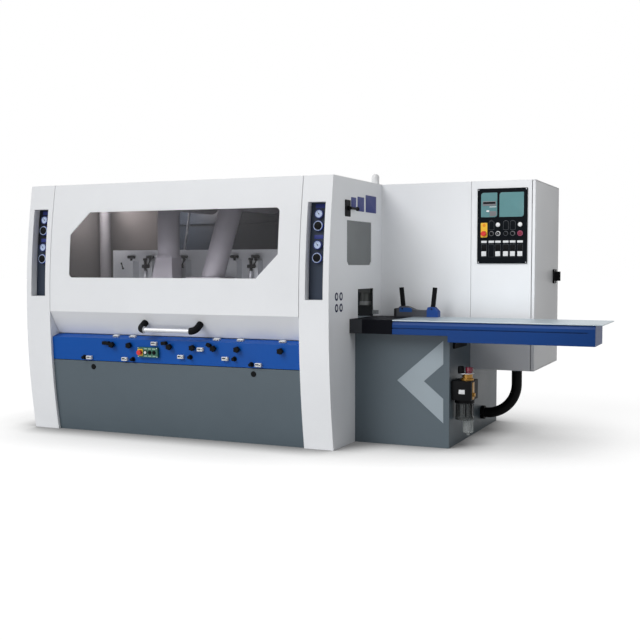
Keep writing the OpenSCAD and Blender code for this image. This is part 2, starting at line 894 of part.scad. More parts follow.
// Pressure regulator knob with a stepped rim
module regulator(side, i) {
    color("royalblue") on_bow(pillar_x(side), regulator_zs[i], slot_d) {
        translate([0, -regulator_t, 0]) rod_y(regulator_r, regulator_t / 2);
        translate([0, -regulator_t / 2, 0]) rod_y(regulator_r - lobe_r / 2, regulator_t / 2 - rest_gap);
        translate([0, -regulator_t, 0]) rod_y(regulator_stem_r, regulator_t + plate_t + stem_l);
    }
}

module regulator_1() {
    regulator(-1, 0);
}

module regulator_2() {
    regulator(-1, 1);
}

module regulator_3() {
    regulator(1, 0);
}

module regulator_4() {
    regulator(1, 1);
}

// Round-topped signal lamp on the roof of the right pillar
module signal_lamp() {
    color("white") translate([lamp_x, lamp_y, housing_h]) {
        rod_z(lamp_r, lamp_h);
        translate([0, 0, lamp_h]) difference() {
            sphere(lamp_r, $fn = round_fn);
            translate([0, 0, -lamp_r]) cube(2 * lamp_r, center = true);
        }
    }
}

// Cast bed: walls, top, ribs, corner feet with anchor holes and the feed beam's posts
module machine_bed() {
    l = housing_l - 2 * bed_gap;
    d = bed_back - bed_y;
    color("lightsteelblue") {
        difference() {
            union() {
                translate([-bed_gap - l, bed_y, 0]) difference() {
                    cube([l, d, bed_h]);
                    translate([bed_wall, bed_wall, -cut])
                        cube([l - 2 * bed_wall, d - 2 * bed_wall, bed_h - bed_top + cut]);
                }
                for (s = rib_shares) translate([-s * housing_l - rib_t / 2, bed_y + bed_wall / 2, 0])
                    cube([rib_t, d - bed_wall, bed_h - bed_top / 2]);
                for (x = foot_xs()) for (y = [bed_y, bed_back - foot]) translate([x, y, 0])
                    cube([foot, foot, foot_t]);
            }
            for (x = foot_xs()) for (y = [bed_y, bed_back - foot])
                translate([x + foot / 2, y + foot / 2, -cut]) rod_z(anchor_r, foot_t + 2 * cut);
            translate([spindle_xs[1], right_y, bed_h - bed_top - cut])
                rod_z(quill_r + cut, bed_top + 2 * cut);
            translate([spindle_xs[2], left_y, bed_h - bed_top - cut])
                rod_z(quill_r + cut, bed_top + 2 * cut);
            for (i = [1, 2])
                translate([spindle_xs[i] - pulley_r - 2 * belt_t, bed_back - bed_wall - cut,
                    side_pulley_z - 2 * belt_t])
                cube([2 * pulley_r + 4 * belt_t, bed_wall + 2 * cut, pulley_w + 4 * belt_t]);
        }
        for (x = post_xs) translate([x, post_y, bed_h]) rod_z(post_r, post_h);
    }
}

function foot_xs() = [-housing_l + bed_gap + bed_wall / 2, -bed_gap - bed_wall / 2 - foot];
function low_motor_z() = bottom_z - motor_drop;
function side_shelf_z() = side_pulley_z + pulley_w + motor_gap;

// Table plates inside the housing, between the bottom cutters
module bed_plates() {
    gap = cutter_r + cutter_gap;
    ends = [-housing_l + wall_gap, spindle_xs[4] - gap, spindle_xs[4] + gap, spindle_xs[0] - gap,
        spindle_xs[0] + gap, -wall_gap];
    color("gainsboro") difference() {
        for (i = [0, 2, 4]) translate([ends[i], fence_y - work_w, bed_h])
            cube([ends[i + 1] - ends[i], work_w - rest_gap, table_z - bed_h]);
        for (seat = [[spindle_xs[1], right_y], [spindle_xs[2], left_y]])
            translate([seat[0], seat[1], bed_h - cut]) rod_z(quill_flange_r + cut, quill_flange_t + 2 * cut);
    }
}

// Fence plates, open at the right cutter and notched over the bottom spindles
module fence_plates() {
    gap = cutter_r + cutter_gap;
    color("silver") difference() {
        union() {
            for (ends = [[-housing_l + wall_gap, spindle_xs[1] - gap], [spindle_xs[1] + gap, -wall_gap]])
                translate([ends[0], fence_y, bed_h])
                    cube([ends[1] - ends[0], fence_t, table_z - bed_h + fence_h]);
            translate([-2 * fence_tip, fence_y, table_z + fence_tip_h / 2])
                cube([3 * fence_tip, fence_t, fence_tip_h]);
        }
        for (i = [0, 4]) translate([spindle_xs[i] - gap, fence_y - cut, bed_h - cut])
            cube([2 * gap, fence_t + 2 * cut, bottom_z + cutter_r - bed_h]);
    }
}

// Cutterhead outline with its gullets and knives
module cutter_outline() {
    r = cutter_r - knife_out;
    difference() {
        circle(r, $fn = smooth);
        for (k = [0 : knives - 1]) rotate(k * 360 / knives) translate([r, gullet_r])
            circle(gullet_r, $fn = round_fn);
    }
    for (k = [0 : knives - 1]) rotate(k * 360 / knives) translate([r / 2, -knife_t])
        square([cutter_r - r / 2 - knife_out / 3, knife_t]);
}

// Spindle standing on its pulley end: pulley, shaft and cutterhead, measured up from the pulley
module spindle(head_from, head_to) {
    rod_z(pulley_r, pulley_w);
    rod_z(spindle_r, head_to + head_inset);
    translate([0, 0, head_from]) linear_extrude(head_to - head_from) cutter_outline();
    translate([0, 0, head_to]) rod_z(spindle_r + knife_t, knife_t);
}

// Lays an upright spindle down with its pulley at the back
module lying(x, z) {
    translate([x, pulley_y + pulley_w, z]) rotate([90, 0, 0]) children();
}

module lying_spindle(i, z) {
    back = pulley_y + pulley_w;
    color("silver") lying(spindle_xs[i], z)
        spindle(back - fence_y + head_inset, back - fence_y + head_inset + head_l);
}

module first_bottom_spindle() {
    lying_spindle(0, bottom_z);
}

module top_spindle() {
    lying_spindle(3, top_z);
}

module second_bottom_spindle() {
    lying_spindle(4, bottom_z);
}

module side_spindle(i, y) {
    color("silver") translate([spindle_xs[i], y, side_pulley_z])
        spindle(side_head_z - side_pulley_z, side_head_z - side_pulley_z + side_head_h);
}

module right_spindle() {
    side_spindle(1, right_y);
}

module left_spindle() {
    side_spindle(2, left_y);
}

// Bearing blocks of the bottom spindles, quills of the side spindles and the top spindle's column
module spindle_carriers() {
    color("darkgray") {
        for (i = [0, 4]) difference() {
            translate([spindle_xs[i] - carrier_w / 2, carrier_y, bed_h])
                cube([carrier_w, bed_back - carrier_y, bottom_z + carrier_h - bed_h]);
            translate([spindle_xs[i], carrier_y - cut, bottom_z])
                rod_y(spindle_r + fit, bed_back - carrier_y + 2 * cut);
        }
        quill(spindle_xs[1], right_y);
        quill(spindle_xs[2], left_y);
        difference() {
            union() {
                translate([spindle_xs[3] - column_w / 2, bed_back - column_d, bed_h])
                    cube([column_w, column_d, top_z + motor_rise - bed_h]);
                translate([spindle_xs[3] - carrier_w / 2, carrier_y, top_z - carrier_h])
                    cube([carrier_w, bed_back - carrier_y, 2 * carrier_h]);
                translate([spindle_xs[3] - shelf_w / 2, bed_back - column_d,
                    top_z + motor_rise - motor_r - shelf_t])
                    cube([shelf_w, column_d + pulley_w + motor_l + bed_wall, shelf_t]);
            }
            translate([spindle_xs[3], carrier_y - cut, top_z])
                rod_y(spindle_r + fit, bed_back - carrier_y + 2 * cut);
            translate([spindle_xs[3] - pulley_r - 2 * belt_t, pulley_y - motor_gap,
                top_z + motor_rise - motor_r - shelf_t - cut])
                cube([2 * pulley_r + 4 * belt_t, pulley_w + 2 * motor_gap, shelf_t + 2 * cut]);
        }
    }
}

// Bearing quill hanging in the bed's top by its flange
module quill(x, y) {
    translate([x, y, 0]) difference() {
        union() {
            translate([0, 0, quill_z]) rod_z(quill_r, bed_h - quill_z + quill_flange_t / 2);
            translate([0, 0, bed_h]) rod_z(quill_flange_r, quill_flange_t);
        }
        translate([0, 0, quill_z - cut]) rod_z(spindle_r + fit, bed_h);
    }
}

// Motor standing on its pulley end, with cooling fins and foot
module motor() {
    rod_z(pulley_r, pulley_w);
    rod_z(motor_shaft_r, pulley_w + motor_gap + motor_l / 2);
    translate([0, 0, pulley_w + motor_gap]) {
        motor_body();
        translate([-motor_foot_w / 2, -motor_r, motor_l / motor_fins])
            cube([motor_foot_w, motor_r, motor_l / 2]);
    }
}

module motor_body() {
    rod_z(motor_r - foot_t / 2, motor_l);
    for (k = [0 : motor_fins - 1]) translate([0, 0, k * motor_l / motor_fins])
        rod_z(motor_r, motor_l / motor_fins / 2);
}

// Motors, and the brackets that carry all but the top one on the back of the bed
module drive_motors() {
    color("dimgray") {
        for (i = [0, 4]) translate([spindle_xs[i], pulley_y, low_motor_z()]) rotate([-90, 0, 0])
            rotate([0, 0, 180]) motor();
        translate([spindle_xs[3], pulley_y, top_z + motor_rise]) rotate([-90, 0, 0])
            rotate([0, 0, 180]) motor();
        for (i = [1, 2]) translate([spindle_xs[i], side_motor_y, side_pulley_z]) side_motor();
    }
    color("darkgray") {
        for (i = [0, 4]) translate([spindle_xs[i], bed_back, low_motor_z() - motor_r - rest_gap - shelf_t])
            motor_bracket(pulley_gap + pulley_w + motor_l, false);
        for (i = [1, 2]) difference() {
            translate([spindle_xs[i], bed_back, side_shelf_z()])
                motor_bracket(side_motor_y + motor_r - bed_back, true);
            translate([spindle_xs[i], side_motor_y, side_shelf_z() - cut])
                rod_z(motor_shaft_r + motor_gap, shelf_t + 2 * cut);
        }
    }
}

// Bracket: a shelf d deep, a flange on the bed, above or below the shelf, and two webs between them
module motor_bracket(d, up) {
    translate([-shelf_w / 2, 0, 0]) cube([shelf_w, d, shelf_t]);
    translate([-shelf_w / 2, 0, up ? 0 : shelf_t - motor_flange_h])
        cube([shelf_w, motor_flange_t, motor_flange_h]);
    for (x = [-shelf_w / 2, shelf_w / 2 - web_t]) translate([x, 0, shelf_t / 2]) extrude_x(web_t)
        polygon([[motor_flange_t / 2, 0], [web_d, 0],
            [motor_flange_t / 2, (up ? 1 : -1) * (motor_flange_h - shelf_t)]]);
}

// Upright motor just above its shelf, with the pulley below it
module side_motor() {
    rise = side_shelf_z() - side_pulley_z + shelf_t + rest_gap;
    rod_z(pulley_r, pulley_w);
    rod_z(motor_shaft_r, rise + motor_l / 2);
    translate([0, 0, rise]) motor_body();
}

// Flat belt round two equal pulleys a distance apart along +Y
module belt_outline(d) {
    r = pulley_r + rest_gap;
    difference() {
        belt_loop(r + belt_t, d);
        belt_loop(r, d);
    }
}

module belt_loop(r, d) {
    circle(r, $fn = smooth);
    translate([0, d]) circle(r, $fn = smooth);
    translate([-r, 0]) square([2 * r, d]);
}

module drive_belts() {
    inset = (pulley_w - belt_w) / 2;
    color("dimgray") {
        for (i = [0, 4]) translate([spindle_xs[i], 0, low_motor_z()])
            extrude_y(pulley_y + inset, belt_w) belt_outline(motor_drop);
        translate([spindle_xs[3], 0, top_z]) extrude_y(pulley_y + inset, belt_w) belt_outline(motor_rise);
        translate([spindle_xs[1], right_y, side_pulley_z + inset]) linear_extrude(belt_w)
            belt_outline(side_motor_y - right_y);
        translate([spindle_xs[2], left_y, side_pulley_z + inset]) linear_extrude(belt_w)
            belt_outline(side_motor_y - left_y);
    }
}

// Feed beam with a lug on each post, roller arms and spring pressers along its front
module feed_beam() {
    color("lightgray") difference() {
        union() {
            translate([-(housing_l + feed_l) / 2, feed_y, feed_z]) cube([feed_l, feed_d, feed_h]);
            for (x = [post_xs[0] - lug_w / 2, post_xs[1] + lug_w / 2 - lug_l])
                translate([x, post_y - lug_d / 2, feed_z - lug_drop]) cube([lug_l, lug_d, lug_h]);
            for (s = roller_shares) translate([-s * housing_l - arm_w / 2, arm_y, roller_z - arm_w / 2])
                cube([arm_w, arm_t, feed_z - roller_z + arm_w]);
        }
        for (x = post_xs) translate([x, post_y, feed_z - lug_drop - cut])
            rod_z(post_r + fit, lug_h + 2 * cut);
        for (s = roller_shares) translate([-s * housing_l, arm_y - cut, roller_z])
            rod_y(axle_r + fit, arm_t + 2 * cut);
    }
    for (s = press_shares) translate([-s * housing_l, feed_y - press_d, press_z]) presser();
}

// Presser: block on the beam's front, with a screw and cross grip on top
module presser() {
    color("gray") translate([-press_w / 2, 0, 0]) cube([press_w, press_d, press_h]);
    color("black") translate([0, press_d / 2, press_h]) {
        rod_z(screw_r, screw_h);
        translate([-grip_l / 2, 0, screw_h]) rod_x(grip_r, grip_l);
    }
}

// Toothed drum on its driven axle
module feed_roller(i) {
    color("gray") translate([-roller_shares[i] * housing_l, 0, roller_z]) {
        extrude_y(fence_y - head_inset - roller_w, roller_w) difference() {
            circle(roller_r, $fn = smooth);
            for (k = [0 : roller_teeth - 1]) rotate(k * 360 / roller_teeth) translate([roller_r, 0])
                rotate(45) square(tooth_d, center = true);
        }
        translate([0, fence_y - head_inset - roller_w, 0])
            rod_y(axle_r, roller_w + head_inset + arm_y - fence_y + axle_l);
        translate([0, arm_y + arm_t + cut, 0]) rod_y(2 * axle_r, axle_l - arm_t - 2 * cut);
    }
}

module infeed_roller() {
    feed_roller(0);
}

module outfeed_roller() {
    feed_roller(1);
}

// Suction hoods over the top and left cutters, with ducts to the roof outlets
module suction_ducts() {
    color("lightgray") {
        top_suction();
        side_suction();
    }
}

// Level duct under the roof from depth y back to a short riser below its outlet, drawn in by t
module roof_duct(x, y, r, t) {
    translate([x, y, duct_top_z]) rod_y(r - t, outlet_y + outlet_r + duct_t - t - y);
    translate([x, outlet_y, duct_top_z])
        rod_z(outlet_r - t, housing_h - sheet - duct_top_z + (t > 0 ? cut : 0));
}

// Duct of the top cutter, drawn in by t: up, back through a bend and along the roof
module top_duct(t) {
    rise = duct_top_z - duct_bend - collar_z;
    translate([spindle_xs[3], duct_y, collar_z + t]) rod_z(duct_r - t, rise - t);
    translate([spindle_xs[3], duct_y + duct_bend, collar_z + rise]) rotate([90, 0, -90])
        rotate_extrude(angle = 90, $fn = smooth) translate([duct_bend, 0]) circle(duct_r - t, $fn = round_fn);
    roof_duct(spindle_xs[3], duct_y + duct_bend, duct_r, t);
}

// Lopsided funnel between the top cutter's hood and its duct, drawn in by a margin
module funnel(inset, low, high) {
    wide = funnel_w - 2 * inset;
    extrude_y(duct_y - funnel_d / 2 + inset, funnel_d - 2 * inset) translate([spindle_xs[3], 0])
        polygon([[inset - funnel_w * funnel_share, low], [inset - funnel_w * funnel_share + wide, low],
            [funnel_d / 2 - inset, high], [inset - funnel_d / 2, high]]);
}

// Hood open towards the cutter below, with a window up into the funnel
module top_suction() {
    x = spindle_xs[3] - top_hood_w / 2;
    y = duct_y - funnel_d / 2;
    high = top_hood_z + top_hood_h;
    wall = 2 * duct_t;
    difference() {
        union() {
            top_duct(0);
            translate([spindle_xs[3], duct_y, collar_z]) rod_z(duct_r + collar_t, collar_lap);
            funnel(0, high, collar_z + collar_lap / 2);
            translate([x, y, top_hood_z]) cube([top_hood_w, fence_y - y, top_hood_h + duct_t]);
        }
        top_duct(duct_t);
        funnel(wall, high + duct_t, collar_z + duct_t + cut);
        translate([spindle_xs[3] - funnel_w * funnel_share + wall, y + wall, high - cut])
            cube([funnel_w - 2 * wall, funnel_d - 2 * wall, duct_t + 2 * cut]);
        translate([x + duct_t, y + duct_t, top_hood_z - cut])
            cube([top_hood_w - 2 * duct_t, fence_y - y - 2 * duct_t, top_hood_h + cut]);
    }
}

// Slanting duct of the left cutter, drawn in by t, running up into its wider level duct
module side_duct(t, grow) {
    run = sqrt(pow(slant_top_x - slant_x, 2) + pow(duct_top_z - slant_z, 2));
    lean = atan2(slant_top_x - slant_x, duct_top_z - slant_z);
    translate([slant_x, duct_y, slant_z]) rotate([0, lean, 0]) translate([0, 0, -grow])
        rod_z(duct_r - t, run + grow);
    roof_duct(slant_top_x, duct_y - duct_r - 2 * collar_t + t, duct_r + collar_t, t);
}

module side_suction() {
    x = spindle_xs[2] - side_hood_left;
    z = side_hood_top - side_hood_h;
    difference() {
        union() {
            side_duct(0, side_hood_h / 3);
            translate([x, side_hood_y, z]) cube([side_hood_w, side_hood_d, side_hood_h]);
        }
        side_duct(duct_t, side_hood_h / 2);
        translate([x + duct_t, side_hood_y + duct_t, z - cut])
            cube([side_hood_w - 2 * duct_t, side_hood_d - 2 * duct_t, side_hood_h - duct_t + cut]);
    }
}

// Sheet box under the infeed table, open below, with the conduit's hole
module infeed_base() {
    color("slategray") difference() {
        translate([0, base_y, 0]) cube([base_l, housing_d - base_y, base_h]);
        translate([base_wall, base_y + base_wall, -cut])
            cube([base_l - 2 * base_wall, housing_d - base_y - 2 * base_wall, base_h - base_wall + cut]);
        translate([base_l - base_wall - cut, conduit_y, conduit_z]) rod_x(conduit_r, base_wall + 2 * cut);
    }
}

// Cover above the back of the infeed base, open towards the housing and below
module infeed_back_cover() {
    color("whitesmoke") difference() {
        translate([0, cabinet_y, base_h])
            cube([base_l - cover_gap, housing_d - cabinet_y, housing_h - base_h]);
        translate([-cut, cabinet_y + sheet, base_h - cut])
            cube([base_l - cover_gap - sheet + cut, housing_d - cabinet_y - 2 * sheet,
                housing_h - base_h - sheet + cut]);
    }
}

// Cabinet shell, open at its right end for the door, with the door's pivots in its roof and floor
module control_cabinet() {
    h = housing_h - cabinet_z;
    d = cabinet_back - cabinet_y;
    mouth = cabinet_w - door_t - door_gap;
    color("whitesmoke") translate([base_l, cabinet_y, cabinet_z]) {
        difference() {
            cube([cabinet_w, d, h]);
            translate([sheet, sheet, sheet]) cube([cabinet_w, d - 2 * sheet, h - 2 * sheet]);
            translate([mouth, -cut, sheet]) cube([cabinet_w, d + 2 * cut, h - 2 * sheet]);
            translate([panel_x - base_l + panel_back_margin, -cut, panel_z - cabinet_z + panel_back_margin])
                cube([panel_l - 2 * panel_back_margin, sheet + 2 * cut, panel_h - 2 * panel_back_margin]);
            translate([conduit_x - base_l, conduit_y - cabinet_y, -cut]) rod_z(conduit_r, sheet + 2 * cut);
        }
        for (z = [sheet / 2, h - sheet / 2 - door_space - 2 * sheet])
            translate([cabinet_w - door_pin_inset, door_pin_inset, z])
                rod_z(door_pin_r, door_space + 2 * sheet);
    }
}

// Door pan hung on the pivots, with a bore for the isolator
module cabinet_door() {
    h = housing_h - cabinet_z - 2 * sheet - 2 * door_space;
    d = cabinet_back - cabinet_y;
    z = cabinet_z + sheet + door_space;
    color("whitesmoke") difference() {
        translate([base_l + cabinet_w - door_t, cabinet_y, z]) cube([door_t, d, h]);
        translate([base_l + cabinet_w - door_t - cut, cabinet_y + door_wall, z + sheet + door_wall])
            cube([door_t - door_wall + cut, d - 2 * door_wall, h - 2 * sheet - 2 * door_wall]);
        for (low = [z - cut, z + h - sheet - door_wall - cut])
            translate([base_l + cabinet_w - door_pin_inset, cabinet_y + door_pin_inset, low])
                rod_z(door_pin_r + fit, sheet + door_wall + 2 * cut);
        translate([base_l + cabinet_w - door_wall - cut, isolator_y, isolator_z])
            rod_x(isolator_stem_r + fit, door_wall + 2 * cut);
    }
}

// Main isolator: round plate, stem and raised grip bar
module isolator_knob() {
    color("black") translate([base_l + cabinet_w, isolator_y, isolator_z]) {
        translate([-door_wall - isolator_stem_r, 0, 0])
            rod_x(isolator_stem_r, door_wall + isolator_stem_r + isolator_t);
        translate([rest_gap, 0, 0]) rod_x(isolator_r, isolator_t / 2);
        translate([isolator_t / 2, -isolator_bar / 2, -isolator_r])
            cube([isolator_t / 2 + isolator_bar_h, isolator_bar, 2 * isolator_r]);
    }
}

// Mounting plate in the cabinet with motor drives and a row of contactors
module switchgear() {
    x = base_l + sheet + gear_plate_gap;
    y = cabinet_y + gear_margin;
    z = cabinet_z + gear_margin;
    d = cabinet_back - cabinet_y - 2 * gear_margin;
    h = housing_h - cabinet_z - 2 * gear_margin;
    color("silver") {
        translate([x, y, z]) cube([gear_plate_t, d, h]);
        for (dy = [gear_margin, d - 2 * gear_margin]) translate([base_l + sheet, y + dy, z])
            cube([gear_plate_gap, gear_margin, h]);
    }
    color("dimgray") for (s = drive_shares)
        translate([x + gear_plate_t, y + s * d - drive_w / 2, z + h / 2])
        cube([drive_d, drive_w, drive_h]);
    color("gray") for (k = [0 : relay_count - 1])
        translate([x + gear_plate_t, y + gear_margin + k * (relay_w + gear_step), z + h / 4])
            cube([relay_d, relay_w, relay_h]);
}

// Black control panel on the cabinet's front, bored for its stop button
module control_panel() {
    color("black") difference() {
        translate([panel_x, cabinet_y - panel_t, panel_z]) cube([panel_l, panel_t, panel_h]);
        translate([panel_stop_x, cabinet_y - panel_t - cut, panel_stop_z])
            rod_y(stop_neck_r + fit, panel_t + 2 * cut);
    }
}

module panel_stop() {
    color("red") translate([panel_stop_x, cabinet_y - panel_t, panel_stop_z]) stop_button(panel_t + stem_l);
}

// Ground plate of the infeed table
module infeed_table() {
    x = joint_l + joint_gap;
    color("gainsboro") translate([x, table_y, table_z - table_t]) cube([table_l - x, table_d, table_t]);
}

// Beam under the table plate, bevelled along its top edge, grooved, and deeper beyond the base
module infeed_beam() {
    x = joint_l + joint_gap;
    high = table_z - table_t;
    low = base_h + rest_gap;
    color("royalblue") difference() {
        union() {
            translate([x, 0, 0]) extrude_x(table_l - beam_end - x) polygon([[table_y + bevel / 2, high],
                [table_y + beam_d, high], [table_y + beam_d, low], [table_y, low], [table_y,
                    high - bevel]]);
            translate([base_l + bracket_t, table_y, beam_bottom])
                cube([table_l - beam_end - base_l - bracket_t, beam_d, low - beam_bottom + cut]);
        }
        translate([x - cut, table_y - cut, groove_z - groove_h / 2])
            cube([table_l - 2 * beam_end - x + cut, groove_d + cut, groove_h]);
    }
}

// Dark jointing table between the infeed table and the housing
module jointing_table() {
    color("darkslategray") {
        translate([cut, table_y, base_h + rest_gap])
            cube([joint_l - cut, beam_d, table_z - base_h - rest_gap]);
        translate([cut, table_y + beam_d, table_z - bevel]) cube([joint_l - cut, table_d - beam_d, bevel]);
    }
}

// Side guide on the table: a casting with a raised clamp at each end
module guide_block() {
    color("gray") difference() {
        translate([guide_x, 0, table_z]) extrude_y(guide_y, guide_d)
            polygon([for (s = guide_shares) [s[0] * guide_l, s[1] * clamp_h]]);
        for (x = [left_lever_x, right_lever_x]) {
            translate([x - clamp_l / 2 - cut, guide_y + (guide_d - lever_slot) / 2,
                lever_z - lever_hub_r - 2 * cut])
                cube([clamp_l + 2 * cut, lever_slot, clamp_h]);
            translate([x, guide_y - cut, lever_z]) rod_y(lever_pin_r + fit, guide_d + 2 * cut);
        }
    }
}

// Clamp lever on its cross pin
module guide_lever(x, side) {
    color("black") translate([x, guide_y, lever_z]) {
        rod_y(lever_pin_r, guide_d);
        translate([0, (guide_d - lever_t) / 2 - cut, 0]) rod_y(lever_hub_r, lever_t + 2 * cut);
        rotate([0, side * lever_lean, 0])
            translate([-lever_w / 2, (guide_d - lever_t) / 2, lever_hub_r / 2])
            cube([lever_w, lever_t, lever_l]);
    }
}

module guide_lever_left() {
    guide_lever(left_lever_x, -1);
}

module guide_lever_right() {
    guide_lever(right_lever_x, 1);
}

// Cable conduit from the cabinet's floor round into the infeed base, with a gland at each end
module cable_conduit() {
    color("black") {
        difference() {
            conduit_run(conduit_r);
            conduit_run(conduit_r - conduit_wall);
        }
        translate([conduit_x, conduit_y, cabinet_z - gland_t]) gland();
        translate([base_l, conduit_y, conduit_z]) rotate([0, 90, 0]) gland();
    }
}

module conduit_run(r) {
    translate([conduit_x, conduit_y, conduit_z + conduit_bend])
        rod_z(r, cabinet_z + sheet - conduit_z - conduit_bend);
    translate([conduit_x - conduit_bend, conduit_y, conduit_z + conduit_bend]) rotate([90, 0, 0])
        rotate([0, 0, -90])
        rotate_extrude(angle = 90, $fn = smooth) translate([conduit_bend, 0]) circle(r, $fn = round_fn);
    translate([base_l - base_wall, conduit_y, conduit_z])
        rod_x(r, conduit_x - conduit_bend - base_l + base_wall);
}

module gland() {
    difference() {
        rod_z(gland_r, gland_t);
        translate([0, 0, -cut]) rod_z(conduit_r, gland_t + 2 * cut);
    }
}

// Turned piece standing on its foot, from shares of its radius and height
module turned(shares, r, h) {
    rotate_extrude($fn = round_fn) polygon([[0, 0], for (s = shares) [s[0] * r, s[1] * h], [0, h]]);
}

// Air service unit: block, bowl, drain glass, valve and cap, on an arm from the infeed base
module air_unit() {
    x = air_x + air_arm + air_w / 2;
    y = air_y + air_d / 2;
    color("black") {
        translate([air_x + air_arm, air_y, air_z]) cube([air_w, air_d, air_h]);
        translate([air_x, y - air_neck, air_z + air_h / 2]) cube([air_arm, 2 * air_neck, air_neck]);
    }
    color("dimgray", 0.7) translate([x, y, air_z - bowl_h]) turned(bowl_shares, bowl_r, bowl_h);
    color("gainsboro", 0.6) translate([x + drain_in, y, air_z - bowl_h - drain_h])
        turned(drain_shares, drain_r, drain_h);
    color("goldenrod") translate([x + valve_in, y, air_z + air_h]) turned(valve_shares, valve_r, valve_h);
    color("silver") translate([x + plate_in, y, air_z + air_h + valve_h]) rod_z(plate_r, sheet);
    color("firebrick") translate([x + cap_in, y, air_z + air_h + valve_h + sheet])
        turned(cap_shares, cap_r, cap_h);
}

centred() machine_bed();
centred() bed_plates();
centred() fence_plates();
centred() left_end_cover();
centred() right_end_cover();
centred() rear_cover();
centred() lower_front_panel();
centred() adjustment_panel();
centred() position_readouts();
centred() button_station();
centred() gauge_panels();
centred() end_window();
centred() signal_lamp();
centred() infeed_base();
centred() infeed_back_cover();
centred() control_cabinet();
centred() switchgear();
centred() control_panel();
centred() cable_conduit();
centred() air_unit();
centred() spindle_carriers();
centred() drive_motors();
centred() drive_belts();
centred() suction_ducts();
centred() hood_shell();
centred() hood_window();
centred() hood_handle();
centred() cabinet_door();
centred() isolator_knob();
centred() latch_lever();
centred() infeed_table();
centred() infeed_beam();
centred() jointing_table();
centred() guide_block();
centred() guide_lever_left();
centred() guide_lever_right();
centred() feed_beam();
centred() infeed_roller();
centred() outfeed_roller();
centred() first_bottom_spindle();
centred() right_spindle();
centred() left_spindle();
centred() top_spindle();
centred() second_bottom_spindle();
centred() station_stop();
centred() panel_stop();
centred() station_button_white();
centred() station_button_left();
centred() station_button_right();
centred() adjuster(0);  // adjuster_1
centred() adjuster(1);  // adjuster_2
centred() adjuster(2);  // adjuster_3
centred() adjuster(3);  // adjuster_4
centred() adjuster(4);  // adjuster_5
centred() adjuster(5);  // adjuster_6
centred() adjuster(6);  // adjuster_7
centred() regulator_1();
centred() regulator_2();
centred() regulator_3();
centred() regulator_4();
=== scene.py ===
"""Looks of the four sided moulder: materials, small trim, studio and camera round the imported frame."""
import math

import bmesh
import bpy
from mathutils import Matrix, Vector


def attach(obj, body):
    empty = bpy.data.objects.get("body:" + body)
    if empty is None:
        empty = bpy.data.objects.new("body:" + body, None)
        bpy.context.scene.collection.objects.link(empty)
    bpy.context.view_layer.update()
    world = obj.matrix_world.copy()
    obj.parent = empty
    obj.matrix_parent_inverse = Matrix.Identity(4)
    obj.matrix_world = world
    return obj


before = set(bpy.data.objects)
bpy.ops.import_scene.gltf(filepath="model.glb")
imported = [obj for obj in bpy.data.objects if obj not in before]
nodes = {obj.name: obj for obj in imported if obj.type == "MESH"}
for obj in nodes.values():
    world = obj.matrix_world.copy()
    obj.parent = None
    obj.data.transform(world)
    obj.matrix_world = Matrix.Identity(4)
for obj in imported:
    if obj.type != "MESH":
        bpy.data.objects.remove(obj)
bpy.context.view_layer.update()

# The drawing's own frame: millimetres from the housing's right end, top front edge and the floor
SHIFT = Vector((0.375, -0.79093, 0.0))
MM_PER_M = 1000.0
HOUSING_L, HOUSING_H, BOW, PILLAR = 2370.0, 1750.0, 80.0, 206.0
MID_Z = HOUSING_H / 2
BOW_R = (MID_Z ** 2 + BOW ** 2) / (2 * BOW)


def move(x, y, z=0.0):
    return Matrix.Translation((x, y, z))


def turned(degrees, axis="Z"):
    return Matrix.Rotation(math.radians(degrees), 4, axis)


FACE_FRONT = turned(90, "X")        # local Z points to -Y
# Local X, Y and Z point to +Y, +Z and +X
FACE_RIGHT = Matrix(((0, 0, 1, 0), (1, 0, 0, 0), (0, 1, 0, 0), (0, 0, 0, 1)))
IN_MM = Matrix.Scale(1 / MM_PER_M, 4)


def at(x, y, z):
    """Point of the row's frame, in metres, from drawing mm."""
    return Vector((x, y, z)) / MM_PER_M + SHIFT


def place(x, y, z, turn=None):
    """Place in the drawing's frame, with local units in millimetres."""
    m = Matrix.Translation(at(x, y, z)) @ IN_MM
    return m @ turn if turn else m


def bow_y(z, inset):
    """Depth of the bulged front, or of a surface that lies an inset behind it, at a height."""
    return BOW_R - BOW - math.sqrt((BOW_R - inset) ** 2 - (z - MID_Z) ** 2)


def front(x, z, inset):
    """Place on the bulged front with local Z straight out, X along and Y up, in millimetres."""
    tilt = math.asin((z - MID_Z) / (BOW_R - inset))
    return (Matrix.Translation(at(x, bow_y(z, inset), z)) @ Matrix.Rotation(-tilt, 4, "X") @ IN_MM
            @ FACE_FRONT)


# Materials

NOISE_SPAN = (0.3, 0.7)             # the part of a noise's range that is used
# Noises: scale, detail and roughness, where the grain's scale is each look's own
MOTTLE, GRAIN, CLOUD = (4.0, 6.0, 0.6), (3.0, 0.55), (2.5, 4.0, 0.5)
ROUGH_SPREAD, ROUGH_LEAST = 0.08, 0.03
GRAIN_DEPTH = 0.001
WORN_COSINES = (0.995, 0.8)         # between a softened edge's normal and the face's own
BRUSHING = (0.06, 1.0, 1.0)
EDGE_SAMPLES = 4
SHEET_IOR, SHEET_VARY = 1.45, 0.2


def lin(r, g, b):
    """Linear colour from 8-bit sRGB."""
    return tuple((c / 255 / 12.92) if c <= 10 else ((c / 255 + 0.055) / 1.055) ** 2.4 for c in (r, g, b))


def new_material(name):
    m = bpy.data.materials.new(name)
    m.use_nodes = True
    m.node_tree.nodes.clear()
    return m, m.node_tree


def link(t, a, b):
    t.links.new(a, b)


def node(t, kind, **values):
    """New node with values for its sockets, or for its settings where it has no such socket."""
    n = t.nodes.new(kind)
    for k, v in values.items():
        if k in n.inputs.keys():
            n.inputs[k].default_value = v
        else:
            setattr(n, k, v)
    return n


